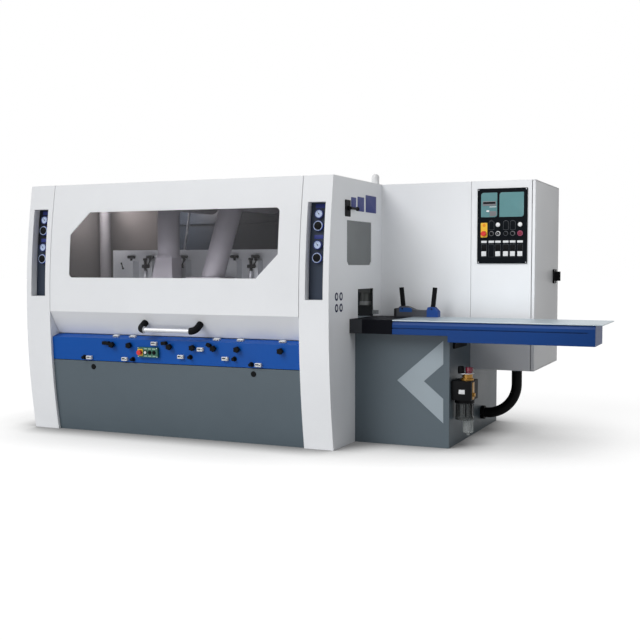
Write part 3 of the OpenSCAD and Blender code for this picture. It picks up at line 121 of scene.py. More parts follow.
def maths(t, operation, *values):
    """Result of a math node on sockets and numbers."""
    n = node(t, "ShaderNodeMath", operation=operation)
    for socket, v in zip(n.inputs, values):
        if isinstance(v, bpy.types.NodeSocket):
            link(t, v, socket)
        else:
            socket.default_value = v
    return n.outputs["Value"]


def ranged(t, value, span, onto):
    """Value mapped from one span onto another, held at both ends."""
    n = node(t, "ShaderNodeMapRange")
    for k, v in zip(("From Min", "From Max", "To Min", "To Max"), (*span, *onto)):
        n.inputs[k].default_value = v
    link(t, value, n.inputs["Value"])
    return n.outputs["Result"]


def noise(t, where, scale, detail, rough):
    n = node(t, "ShaderNodeTexNoise", Scale=scale, Detail=detail, Roughness=rough)
    link(t, where, n.inputs["Vector"])
    return n.outputs["Fac"]


def ramp(t, factor, low, high, ends):
    """Colour between two linear ones, which lie at the ends given."""
    n = node(t, "ShaderNodeValToRGB")
    for stop, colour, end in zip(n.color_ramp.elements, (low, high), ends):
        stop.position = end
        stop.color = (*colour, 1)
    link(t, factor, n.inputs["Fac"])
    return n.outputs["Color"]


def blended(t, factor, colour, other):
    """Colour socket that goes over to another, linear colour."""
    n = node(t, "ShaderNodeMix", data_type="RGBA")
    n.inputs["B"].default_value = (*other, 1)
    link(t, factor, n.inputs["Factor"])
    link(t, colour, n.inputs["A"])
    return n.outputs["Result"]


def mixed(t, factor, first, second):
    """Mix of two shaders."""
    n = node(t, "ShaderNodeMixShader")
    link(t, factor, n.inputs["Fac"])
    link(t, first, n.inputs[1])
    link(t, second, n.inputs[2])
    return n.outputs["Shader"]


def zoned(t, where, colour, other, low, high):
    """Colour socket with another colour inside a box of the object's own coordinates."""
    part = node(t, "ShaderNodeSeparateXYZ")
    link(t, where, part.inputs["Vector"])
    inside = 1.0
    for k in range(3):
        for operation, edge in (("GREATER_THAN", low[k]), ("LESS_THAN", high[k])):
            inside = maths(t, "MULTIPLY", maths(t, operation, part.outputs[k], edge), inside)
    return blended(t, inside, colour, other)


def surface(name, rgb, worn, rough, vary, grain, bump, metal=0.0, wear_share=0.5, edge=0.002, specular=0.5,
            brushed=False, zones=()):
    """Paint, metal or plastic with mottled colour, uneven gloss, fine grain and worn edges.

    Colours are 8-bit sRGB. Zones are boxes, in drawing mm, that carry another colour: that colour, the low
    corner and the high corner.
    """
    m, t = new_material(name)
    where = node(t, "ShaderNodeTexCoord").outputs["Object"]
    stretch = node(t, "ShaderNodeMapping")
    if brushed:
        stretch.inputs["Scale"].default_value = BRUSHING
    link(t, where, stretch.inputs["Vector"])
    mottle = noise(t, where, *MOTTLE)
    fine = noise(t, stretch.outputs["Vector"], grain, *GRAIN)
    dark, pale = ([min(1, c * k) for c in lin(*rgb)] for k in (1 - vary, 1 + vary))
    colour = ramp(t, mottle, dark, pale, NOISE_SPAN)
    for other, low, high in zones:
        colour = zoned(t, where, colour, lin(*other), at(*low), at(*high))
    both = maths(t, "MULTIPLY_ADD", mottle, 0.5, maths(t, "MULTIPLY", fine, 0.5))
    smooth, dull = max(ROUGH_LEAST, rough - ROUGH_SPREAD), min(1.0, rough + ROUGH_SPREAD)
    gloss = ranged(t, both, NOISE_SPAN, (smooth, dull))
    soft = node(t, "ShaderNodeBevel", samples=EDGE_SAMPLES, Radius=edge)
    height = node(t, "ShaderNodeBump", Strength=bump, Distance=GRAIN_DEPTH)
    link(t, fine, height.inputs["Height"])
    link(t, soft.outputs["Normal"], height.inputs["Normal"])
    bend = node(t, "ShaderNodeVectorMath", operation="DOT_PRODUCT")
    link(t, soft.outputs["Normal"], bend.inputs[0])
    link(t, node(t, "ShaderNodeNewGeometry").outputs["Normal"], bend.inputs[1])
    rubbed = maths(t, "MULTIPLY", ranged(t, bend.outputs["Value"], WORN_COSINES, (0.0, wear_share)), mottle)
    bsdf = node(t, "ShaderNodeBsdfPrincipled", Metallic=metal)
    bsdf.inputs["Specular IOR Level"].default_value = specular
    link(t, blended(t, rubbed, colour, lin(*worn)), bsdf.inputs["Base Color"])
    link(t, gloss, bsdf.inputs["Roughness"])
    link(t, height.outputs["Normal"], bsdf.inputs["Normal"])
    link(t, bsdf.outputs["BSDF"], node(t, "ShaderNodeOutputMaterial").inputs["Surface"])
    return m


def clear_sheet(name, rgb, haze, rough, body):
    """Tinted sheet: light passes straight through it, with a soft sheen and a faint haze on top."""
    m, t = new_material(name)
    through = node(t, "ShaderNodeBsdfTransparent", Color=(*rgb, 1))
    skin = node(t, "ShaderNodeBsdfPrincipled", Roughness=rough)
    cloud = noise(t, node(t, "ShaderNodeTexCoord").outputs["Object"], *CLOUD)
    dark, pale = ([c * body * k for c in rgb] for k in (1 - SHEET_VARY, 1 + SHEET_VARY))
    link(t, ramp(t, cloud, dark, pale, (0.0, 1.0)), skin.inputs["Base Color"])
    share = maths(t, "ADD", node(t, "ShaderNodeFresnel", IOR=SHEET_IOR).outputs["Fac"], haze)
    link(t, mixed(t, share, through.outputs["BSDF"], skin.outputs["BSDF"]),
         node(t, "ShaderNodeOutputMaterial").inputs["Surface"])
    return m


# Each look: name, colour, worn colour, roughness, mottling, grain and its height
WHITE_LOOK = ((233, 235, 238), (190, 192, 194), 0.38, 0.012, 700, 0.03)
WHITE_WEAR = {"wear_share": 0.35, "edge": 0.004}
CAST_LOOK = ((186, 190, 194), (150, 152, 154), 0.5, 0.05, 220, 0.15)
PAINT_WEAR = {"wear_share": 0.5, "edge": 0.003}
WHITE = surface("white_paint", *WHITE_LOOK, **WHITE_WEAR)
# The rear cover is white outside, and its inner side is dark blue-grey: painted shade inside the housing
REAR = surface("rear_paint_painted_shade_inside", *WHITE_LOOK, **WHITE_WEAR,
               zones=(((44, 54, 66), (-2370, 600, -10), (0, 1637, 1747)),))
# The left end cover is white outside, and its inner wall is mid grey: painted shade inside the hood
LEFT_END = surface("left_end_paint_painted_shade_inside", *WHITE_LOOK, **WHITE_WEAR,
                   zones=(((116, 112, 110), (-2369, 130, 20), (-2150, 1637, 1740)),))
GRAY = surface("gray_paint", (82, 94, 102), (120, 130, 134), 0.45, 0.03, 600, 0.04, **PAINT_WEAR,
               specular=0.35)
BLUE = surface("blue_paint", (0, 76, 160), (40, 105, 190), 0.45, 0.04, 600, 0.04, **PAINT_WEAR, specular=0.2)
# The infeed beam's blue is darker than the panel's blue: painted shade for the beam lying under the table
BLUE_PAINTED_SHADE = surface("beam_paint", (0, 54, 118), (40, 100, 180), 0.45, 0.04, 600, 0.04, **PAINT_WEAR,
                     specular=0.2)
ARROW = surface("arrow_paint", (148, 160, 168), (130, 145, 152), 0.42, 0.03, 600, 0.04)
CAST = surface("cast_paint", *CAST_LOOK)
# Bed: the post's lower part behind the infeed tunnel is dark grey, which is painted shade, with a lighter
# band across it. The left column is a darker grey.
BED = surface("bed_paint", *CAST_LOOK, zones=(((66, 70, 68), (-130, 690, 700), (-20, 820, 1040)),
                                              ((130, 134, 134), (-130, 700, 903), (-20, 820, 929)),
                                              ((150, 148, 150), (-2340, 710, 826), (-2245, 810, 1740))))
# The feed beam's end behind the infeed tunnel is dark grey: painted shade
FEED = surface("feed_beam_paint", (224, 227, 230), (160, 162, 164), 0.5, 0.04, 300, 0.1,
               zones=(((66, 70, 68), (-130, 690, 900), (-20, 820, 1040)),))
# The fence plates are near black in the tunnel and inside the housing, which is painted shade, and mid grey
# where they come out past the end wall
FENCE = surface("fence_painted_shade", (30, 33, 35), (120, 124, 128), 0.5, 0.08, 300, 0.08, specular=0.15,
                zones=(((126, 130, 132), (0, 600, 826), (80, 720, 1000)),))
GUIDE = surface("guide_casting", (74, 76, 82), (120, 122, 126), 0.5, 0.08, 260, 0.12, specular=0.3,
                zones=(((24, 74, 140), (198, 600, 860), (288, 695.5, 890)),
                       ((20, 66, 140), (393, 600, 820), (480, 800, 896)),
                       ((16, 17, 20), (150, 600, 820), (176, 800, 900))))
JOINT = surface("jointing_iron", (6, 7, 14), (40, 42, 48), 0.5, 0.08, 260, 0.08, specular=0.06,
                zones=(((56, 58, 62), (-10, 200, 700), (88, 266, 826)),))
# The slot plate in the left pillar is darker than in the right one: painted shade
SLOT = surface("slot_plate", (52, 60, 74), (90, 96, 108), 0.5, 0.06, 700, 0.05, specular=0.15,
               zones=(((28, 32, 38), (-2370, 0, 900), (-2160, 300, 1700)),))
GROUND = surface("ground_steel", (174, 186, 193), (230, 232, 234), 0.34, 0.03, 500, 0.05, metal=0.5,
                 brushed=True)
TOOL = surface("tool_steel", (160, 162, 166), (215, 217, 220), 0.3, 0.06, 500, 0.08, metal=0.9)
LIGHT_METAL = surface("light_metal", (214, 216, 220), (235, 236, 238), 0.3, 0.03, 500, 0.03, metal=0.35)
BRASS = surface("brass", (150, 112, 50), (200, 165, 95), 0.36, 0.06, 500, 0.05, metal=0.7)
DUCT = surface("duct_sheet", (164, 161, 167), (215, 215, 218), 0.5, 0.05, 90, 0.05)
MOTOR = surface("motor_paint", (66, 70, 76), (110, 112, 116), 0.5, 0.06, 300, 0.1)
BLACK = surface("black_plastic", (11, 12, 14), (46, 48, 50), 0.5, 0.12, 900, 0.1, wear_share=0.4,
                specular=0.08)
PANEL_BLACK = surface("panel_black", (10, 14, 19), (50, 54, 58), 0.48, 0.08, 900, 0.06, specular=0.05)
RUBBER = surface("black_rubber", (10, 11, 12), (40, 41, 43), 0.6, 0.1, 300, 0.2, specular=0.1)
DIM = surface("dim_gray", (112, 112, 116), (150, 150, 150), 0.4, 0.06, 600, 0.04)
DIM_BLACK = surface("dim_black", (72, 76, 82), (100, 102, 106), 0.4, 0.06, 600, 0.04)
LIGHT = surface("light_plastic", (228, 229, 230), (205, 205, 205), 0.25, 0.02, 700, 0.03)
BLUE_PLASTIC = surface("blue_plastic", (40, 70, 190), (110, 130, 210), 0.22, 0.05, 700, 0.03)
GREEN = surface("green_plastic", (28, 92, 74), (70, 130, 110), 0.4, 0.06, 800, 0.06)
RED = surface("red_plastic", (206, 40, 34), (230, 110, 100), 0.25, 0.05, 700, 0.03)
YELLOW = surface("yellow_plastic", (232, 182, 40), (240, 210, 120), 0.35, 0.04, 700, 0.04)
SCREEN = surface("screen_teal", (86, 134, 138), (120, 165, 168), 0.18, 0.08, 30, 0.0)
LABEL = surface("blank_label", (214, 216, 218), (180, 180, 180), 0.5, 0.05, 300, 0.05)
PALE_GREEN = surface("pale_green_label", (150, 178, 160), (120, 150, 130), 0.5, 0.05, 400, 0.03)
AMBER = surface("amber_lens", (226, 140, 20), (240, 180, 90), 0.25, 0.05, 500, 0.02)
DARK_RED = surface("dark_red_lens", (124, 24, 50), (160, 80, 100), 0.25, 0.06, 500, 0.02)
MAGENTA = surface("magenta_ring", (150, 60, 96), (190, 110, 140), 0.35, 0.05, 500, 0.03)
BLUE_PLATE = surface("blue_plate", (48, 58, 124), (100, 108, 155), 0.4, 0.05, 500, 0.03, specular=0.2)
NAVY = surface("navy_plate", (26, 28, 66), (80, 84, 120), 0.4, 0.05, 500, 0.03, specular=0.2)
DIAL = surface("gauge_dial", (176, 192, 222), (200, 206, 220), 0.4, 0.04, 500, 0.02)
# Each sheet: name, linear tint, haze, roughness and body
GLASS = clear_sheet("smoked_glass", (0.8, 0.8, 0.82), 0.03, 0.08, 0.4)
END_GLASS = clear_sheet("end_glass", (0.62, 0.66, 0.67), 0.5, 0.12, 0.42)
BOWL = clear_sheet("bowl_plastic", (0.5, 0.53, 0.53), 0.25, 0.12, 0.3)
DRAIN = clear_sheet("drain_glass", (0.8, 0.83, 0.83), 0.25, 0.08, 0.8)

LOOKS = {
    "machine_bed": BED, "bed_plates": GROUND, "fence_plates": FENCE, "left_end_cover": LEFT_END,
    "right_end_cover": WHITE, "rear_cover": REAR, "lower_front_panel": GRAY, "adjustment_panel": BLUE,
    "position_readouts": LABEL, "button_station": GREEN, "gauge_panels": SLOT, "end_window": END_GLASS,
    "signal_lamp": LIGHT, "infeed_base": GRAY, "infeed_back_cover": WHITE, "control_cabinet": WHITE,
    "switchgear": BLACK, "control_panel": PANEL_BLACK, "cable_conduit": RUBBER, "air_unit": BLACK,
    "spindle_carriers": CAST, "drive_motors": MOTOR, "drive_belts": RUBBER, "suction_ducts": DUCT,
    "hood_shell": WHITE, "hood_window": GLASS, "hood_handle": LIGHT_METAL, "cabinet_door": WHITE,
    "isolator_knob": BLACK, "latch_lever": BLACK, "infeed_table": GROUND, "infeed_beam": BLUE_PAINTED_SHADE,
    "jointing_table": JOINT, "guide_block": GUIDE, "guide_lever_left": BLACK, "guide_lever_right": BLACK,
    "feed_beam": FEED, "infeed_roller": TOOL, "outfeed_roller": TOOL, "first_bottom_spindle": TOOL,
    "right_spindle": TOOL, "left_spindle": TOOL, "top_spindle": TOOL, "second_bottom_spindle": TOOL,
    "station_stop": RED, "panel_stop": RED, "station_button_white": LIGHT, "station_button_left": BLACK,
    "station_button_right": BLACK,
}
for name, obj in nodes.items():
    # The rest are the star knobs, named adjuster, and the regulator knobs
    base = LOOKS.get(name) or (BLACK if name.startswith("adjuster") else BLUE_PLASTIC)
    obj.data.materials.clear()
    obj.data.materials.append(base)


def repaint(name, *rules):
    """Gives faces of a CAD node another material where a test on the face's middle, in drawing mm, holds."""
    mesh = nodes[name].data
    for material, test in rules:
        mesh.materials.append(material)
        slot = len(mesh.materials) - 1
        for p in mesh.polygons:
            if test((p.center - SHIFT) * MM_PER_M):
                p.material_index = slot


# Shapes of the trim, in millimetres

OUTLINE_STEP = 3.0                  # longest side of a plate's outline round a hole
CORNER_LEAST = 0.2
TOUCH = 1e-4
WELD = 1e-3
EDGE_STEPS, SCREW_STEPS, STUD_STEPS, TURNED_STEPS, RING_STEPS = 3, 16, 20, 40, 48
SHARP_FROM = math.radians(32)


def slab(outline, low, high, soft=0.0):
    """Flat piece on an outline in local XY, with its upper edge softened."""
    bm = bmesh.new()
    face = bm.faces.new([bm.verts.new((x, y, low)) for x, y in outline])
    grown = bmesh.ops.extrude_face_region(bm, geom=[face])["geom"]
    top = [g for g in grown if isinstance(g, bmesh.types.BMVert)]
    bmesh.ops.translate(bm, vec=(0, 0, high - low), verts=top)
    bmesh.ops.recalc_face_normals(bm, faces=bm.faces)
    if soft:
        rim = [e for e in bm.edges if all(v.co.z > high - TOUCH for v in e.verts)]
        bmesh.ops.bevel(bm, geom=rim, offset=soft, segments=EDGE_STEPS, affect="EDGES", profile=0.5)
    return bm


def lathe(profile, steps=TURNED_STEPS):
    """Turned piece about local Z from (radius, height) points."""
    bm = bmesh.new()
    vs = [bm.verts.new((r, 0, z)) for r, z in profile]
    es = [bm.edges.new(pair) for pair in zip(vs, vs[1:])]
    bmesh.ops.spin(bm, geom=vs + es, cent=(0, 0, 0), axis=(0, 0, 1), angle=2 * math.pi, steps=steps)
    bmesh.ops.remove_doubles(bm, verts=bm.verts, dist=WELD)
    bmesh.ops.recalc_face_normals(bm, faces=bm.faces)
    return bm


def holed(outline, r, low, high, soft=1.0):
    """Plate on an outline round the local origin, with a round hole and its upper outer edge cut back."""
    fine = []
    for (x0, y0), (x1, y1) in zip(outline, outline[1:] + outline[:1]):
        n = max(1, round(math.hypot(x1 - x0, y1 - y0) / OUTLINE_STEP))
        fine += [(x0 + (x1 - x0) * k / n, y0 + (y1 - y0) * k / n) for k in range(n)]
    bm = bmesh.new()
    rings = []
    for inset, z in ((0.0, low), (0.0, high - soft), (soft, high)):
        shrunk = [(x, y, 1 - inset / math.hypot(x, y)) for x, y in fine]
        rings.append([bm.verts.new((x * k, y * k, z)) for x, y, k in shrunk])
    for z in (high, low):
        on_hole = [(x, y, math.hypot(x, y)) for x, y in fine]
        rings.append([bm.verts.new((x * r / d, y * r / d, z)) for x, y, d in on_hole])
    rings.append(rings[0])
    n = len(fine)
    for a, b in zip(rings, rings[1:]):
        for i in range(n):
            bm.faces.new((a[i], a[(i + 1) % n], b[(i + 1) % n], b[i]))
    bmesh.ops.recalc_face_normals(bm, faces=bm.faces)
    return bm


def tube(points, r, steps=14):
    """Round pipe or bar through the points."""
    bm = bmesh.new()
    pts = [Vector(p) for p in points]
    rings, side = [], None
    for i, p in enumerate(pts):
        along = (pts[min(i + 1, len(pts) - 1)] - pts[max(i - 1, 0)]).normalized()
        side = side or along.orthogonal().normalized()
        side = (side - along * side.dot(along)).normalized()
        up = along.cross(side)
        rings.append([bm.verts.new(p + r * (math.cos(a) * side + math.sin(a) * up))
                      for a in (2 * math.pi * k / steps for k in range(steps))])
    for a, b in zip(rings, rings[1:]):
        for k in range(steps):
            bm.faces.new((a[k], a[(k + 1) % steps], b[(k + 1) % steps], b[k]))
    bm.faces.new(rings[0][::-1])
    bm.faces.new(rings[-1])
    bmesh.ops.recalc_face_normals(bm, faces=bm.faces)
    return bm


def circle(r, steps=32):
    return [(r * math.cos(a), r * math.sin(a)) for a in (2 * math.pi * k / steps for k in range(steps))]


def rounded(w, h, *radii, steps=6):
    """Rectangle about the local origin; radii run from the upper right corner anticlockwise."""
    radii = radii * 4 if len(radii) == 1 else radii
    out = []
    for k, (sx, sy) in enumerate(((1, 1), (-1, 1), (-1, -1), (1, -1))):
        r = max(radii[k], CORNER_LEAST)
        for i in range(steps + 1):
            a = math.pi / 2 * (k + i / steps)
            out.append((sx * (w / 2 - r) + r * math.cos(a), sy * (h / 2 - r) + r * math.sin(a)))
    return out


class Trim:
    """Fittings gathered into one mesh that rides on a CAD body."""

    def __init__(self, name, body):
        self.body, self.mesh, self.bm, self.slots = body, bpy.data.meshes.new(name), bmesh.new(), []

    def add(self, bm, matrix, material):
        if material not in self.slots:
            self.slots.append(material)
        for f in bm.faces:
            f.material_index = self.slots.index(material)
        bm.transform(matrix)
        part = bpy.data.meshes.new("part")
        bm.to_mesh(part)
        bm.free()
        self.bm.from_mesh(part)
        bpy.data.meshes.remove(part)

    def done(self):
        self.bm.to_mesh(self.mesh)
        self.bm.free()
        for m in self.slots:
            self.mesh.materials.append(m)
        self.mesh.polygons.foreach_set("use_smooth", [True] * len(self.mesh.polygons))
        self.mesh.set_sharp_from_angle(angle=SHARP_FROM)
        obj = bpy.data.objects.new(self.mesh.name, self.mesh)
        bpy.context.scene.collection.objects.link(obj)
        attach(obj, self.body)


# Trim: small fittings that ride on the CAD bodies. Places are in drawing mm, as in the part's source.
# Heights, whose names end in _h, are a piece's low face, high face and softened edge, out from its seat.

PILLARS = (-HOUSING_L + PILLAR / 2, -PILLAR / 2)
SLOT_D = 58.0                       # depth of the gauge slots behind the bulged front
GAUGE_ZS, REGULATOR_ZS = (1504.0, 1308.0), (1428.0, 1226.0)
PANEL_INSET = 20.0                  # of the front panels behind the bulged front
ROWS = (534.0, 566.0, 631.0, 621.0, 649.0)
# Small shaft ends and readouts on the adjustment panel: share of the housing's length, and row
SHAFT_ENDS = ((0.237, 0), (0.2895, 1), (0.431, 1), (0.625, 0), (0.7975, 0))
READOUTS = ((0.214, 0), (0.3173, 1), (0.4612, 1), (0.6523, 0), (0.778, 0), (0.396, 3), (0.549, 4))
LEDGE_READOUTS = (0.147, 0.2777, 0.3533, 0.634, 0.692)
LEDGE_Z, LEDGE_RISE, LEDGE_BACK = 672.0, 20.0, 16.0
STATION_SHARE, STATION_Z, STATION_D = 0.5688, 588.0, 22.0
CONTROL_Y = 864.0                   # the control panel's face
CONTROL_COLS = (743.0, 794.0, 839.0, 892.0, 939.0, 989.0)
LAMP_Z, DIAL_Z = 1453.0, 1394.0
BASE_Y = 368.0                      # the infeed base's front
ISOLATOR_AT = (1088.0, 1560.0, 1100.0)
STOP_HOLE_R = 17.6                  # round the mushroom stops' stems
PRESSER_Y = 542.0                   # the pressers' fronts


def on_panel(x, z):
    return place(x, CONTROL_Y, z, FACE_FRONT)


def on_end_wall(y, z):
    return place(0, y, z, FACE_RIGHT)


def gauge_trim():
    """Bezel, dial and hand of each pressure gauge, and the bare plate over it."""
    bezel = [(26.1, -14), (28.5, -13), (28.5, 1.5), (27.5, 2.6), (24.4, 2.6), (23.6, 0.4)]
    dial = [(23.8, 0.1), (23.6, 0.5), (0, 0.5)]
    tick, tick_h = rounded(1.6, 5.0, 0.4, steps=2), (0, 0.3)
    tick_out, tick_turns = (0, 19.5, 0.4), [-135 + k * 33.75 for k in range(9)]
    hand, hand_h, hand_turn = [(-1.6, -6), (1.6, -6), (0.5, 19), (-0.5, 19)], (0.9, 1.5), 40
    hub = [(3.4, 0.4), (3.4, 2.0), (2.6, 2.6), (0, 2.6)]
    plate, plate_h, plate_up = rounded(62, 26, 3), (0.2, 1.6, 0.5), 52
    gauge_d = 18.3
    t = Trim("gauge_faces", "frame")
    for x in PILLARS:
        for z in GAUGE_ZS:
            m = front(x, z, SLOT_D) @ move(0, 0, gauge_d)
            t.add(lathe(bezel), m, BLUE_PLATE)
            t.add(lathe(dial), m, DIAL)
            for a in tick_turns:
                t.add(slab(tick, *tick_h), m @ turned(a) @ move(*tick_out), BLACK)
            t.add(slab(hand, *hand_h), m @ turned(hand_turn), BLACK)
            t.add(lathe(hub, STUD_STEPS), m, PANEL_BLACK)
            t.add(slab(plate, *plate_h), front(x, z + plate_up, SLOT_D), BLUE_PLATE)
    t.done()


def regulator_trim():
    """Ring, cap and gripping ribs of each regulator knob."""
    ring = [(31.6, -0.2), (30.6, 1.6), (28.4, 2.2), (27.2, 0.8), (0, 0.8)]
    cap = [(26.4, 0.4), (25.4, 4.4), (22.5, 5.6), (0, 5.6)]
    rib, rib_h, rib_r, ribs = rounded(2.8, 3.2, 1.0, steps=3), (-9.5, -1.5, 0.6), 32.0, 24
    knob_d = 22
    for n, (x, z) in enumerate([(x, z) for x in PILLARS for z in REGULATOR_ZS]):
        t = Trim("regulator_cap_%d" % (n + 1), "regulate_%d" % (n + 1))
        m = front(x, z, SLOT_D) @ move(0, 0, knob_d)
        t.add(lathe(ring), m, DIAL)
        t.add(lathe(cap), m, BLACK)
        for k in range(ribs):
            t.add(slab(rib, *rib_h), m @ turned(360 * k / ribs) @ move(0, rib_r), BLUE_PLASTIC)
        t.done()


def readout_trim():
    """Faces of the position readouts, and collars round the small shaft ends."""
    face_h, digits_h, bar_h = (-0.5, 1.2, 0.6), (1.0, 1.7, 0.3), (1.0, 1.6, 0.3)
    # Face, digits and the digits' offset of a full readout, and of one that shows its rim over the ledge
    full = rounded(42, 22, 2.5), rounded(25, 8, 1.0), (-5.5, 3.2)
    rim = rounded(42, 11, 2.5), rounded(25, 5, 1.0), (-5.5, 0)
    bar, bar_out = rounded(25, 4.2, 1.0), (-5.5, -5.8)
    knob, knob_out = [(3.8, 1.0), (3.8, 2.2), (3.2, 2.8), (0, 2.8)], (13.8, 0)
    collar = [(17, 0.2), (17, 3), (15.5, 4.5), (11.3, 4.5)]
    readout_d, ledge_out = 18, (0, 6, -28)
    edge = bow_y(LEDGE_Z, PANEL_INSET)
    lean = Matrix.Rotation(math.atan2(LEDGE_RISE, LEDGE_BACK - edge), 4, "X")
    places = [(full, front(-s * HOUSING_L, ROWS[r], PANEL_INSET) @ move(0, 0, readout_d))
              for s, r in READOUTS]
    places += [(rim, place(-s * HOUSING_L, edge, LEDGE_Z, lean) @ FACE_FRONT @ move(*ledge_out))
               for s in LEDGE_READOUTS]
    t = Trim("readout_faces", "frame")
    for kind, m in places:
        face, digits, digits_out = kind
        t.add(slab(face, *face_h), m, LIGHT)
        t.add(slab(digits, *digits_h), m @ move(*digits_out), PANEL_BLACK)
        if kind is full:
            t.add(slab(bar, *bar_h), m @ move(*bar_out), CAST)
        t.add(lathe(knob, STUD_STEPS), m @ move(*knob_out), PANEL_BLACK)
    for s, r in SHAFT_ENDS:
        t.add(lathe(collar), front(-s * HOUSING_L, ROWS[r], PANEL_INSET), BLACK)
    t.done()


def lever_trim():
    """Small clamp handles beside the star knobs, and the plugs in the lower panel."""
    pivot = [(13, 0.2), (13, 20), (11, 25), (0, 26)]
    arm_h, arm_tip = (6, 24, 3.0), 4
    plug = [(19, 0.2), (19, 2.0), (16.5, 4.2), (0, 5.0)]
    # Place, turn in degrees and reach of each handle
    handles = ((-1677.0, 640.0, 88.0, 46.0), (-1211.0, 655.0, 96.0, 30.0), (-868.0, 650.0, 62.0, 22.0))
    plugs = ((-1819.0, 468.0), (-550.0, 471.0))
    t = Trim("clamp_handles", "frame")
    for x, z, turn, reach in handles:
        m = front(x, z, PANEL_INSET)
        straight = reach - arm_tip
        arm = [(-11, 0), (-12, straight), (-8, reach), (8, reach), (12, straight), (11, 0)]
        t.add(lathe(pivot), m, BLACK)
        t.add(slab(arm, *arm_h), m @ turned(turn), BLACK)
    for x, z in plugs:
        t.add(lathe(plug), front(x, z, PANEL_INSET), BLACK)
    t.done()


def station_trim():
    """Stop's yellow plate, button rings, blank labels and screws of the operator station."""
    stop_plate, stop_h, stop_x = rounded(42, 46, 6), (0.1, 1.8), -58
    button_ring, button_r, button_h, button_xs = circle(14), 9.6, (0.1, 3.0), (-16, 18, 52)
    label, label_h, label_ys = rounded(25, 7.5, 1.2), (0.1, 0.9, 0.3), (-25, 25)
    screw, screw_xs, screw_ys = [(3.4, 0.1), (3.4, 1.2), (2.4, 2.2), (0, 2.2)], (-75, 75), (-29, 29)
    t = Trim("station_face", "frame")
    m = front(-STATION_SHARE * HOUSING_L, STATION_Z, PANEL_INSET) @ move(0, 0, STATION_D)
    t.add(holed(stop_plate, STOP_HOLE_R, *stop_h), m @ move(stop_x, 0), YELLOW)
    for x in button_xs:
        t.add(holed(button_ring, button_r, *button_h), m @ move(x, 0), PANEL_BLACK)
        for y in label_ys:
            t.add(slab(label, *label_h), m @ move(x, y), PALE_GREEN)
    for x in screw_xs:
        for y in screw_ys:
            t.add(lathe(screw, SCREW_STEPS), m @ move(x, y), LIGHT_METAL)
    t.done()


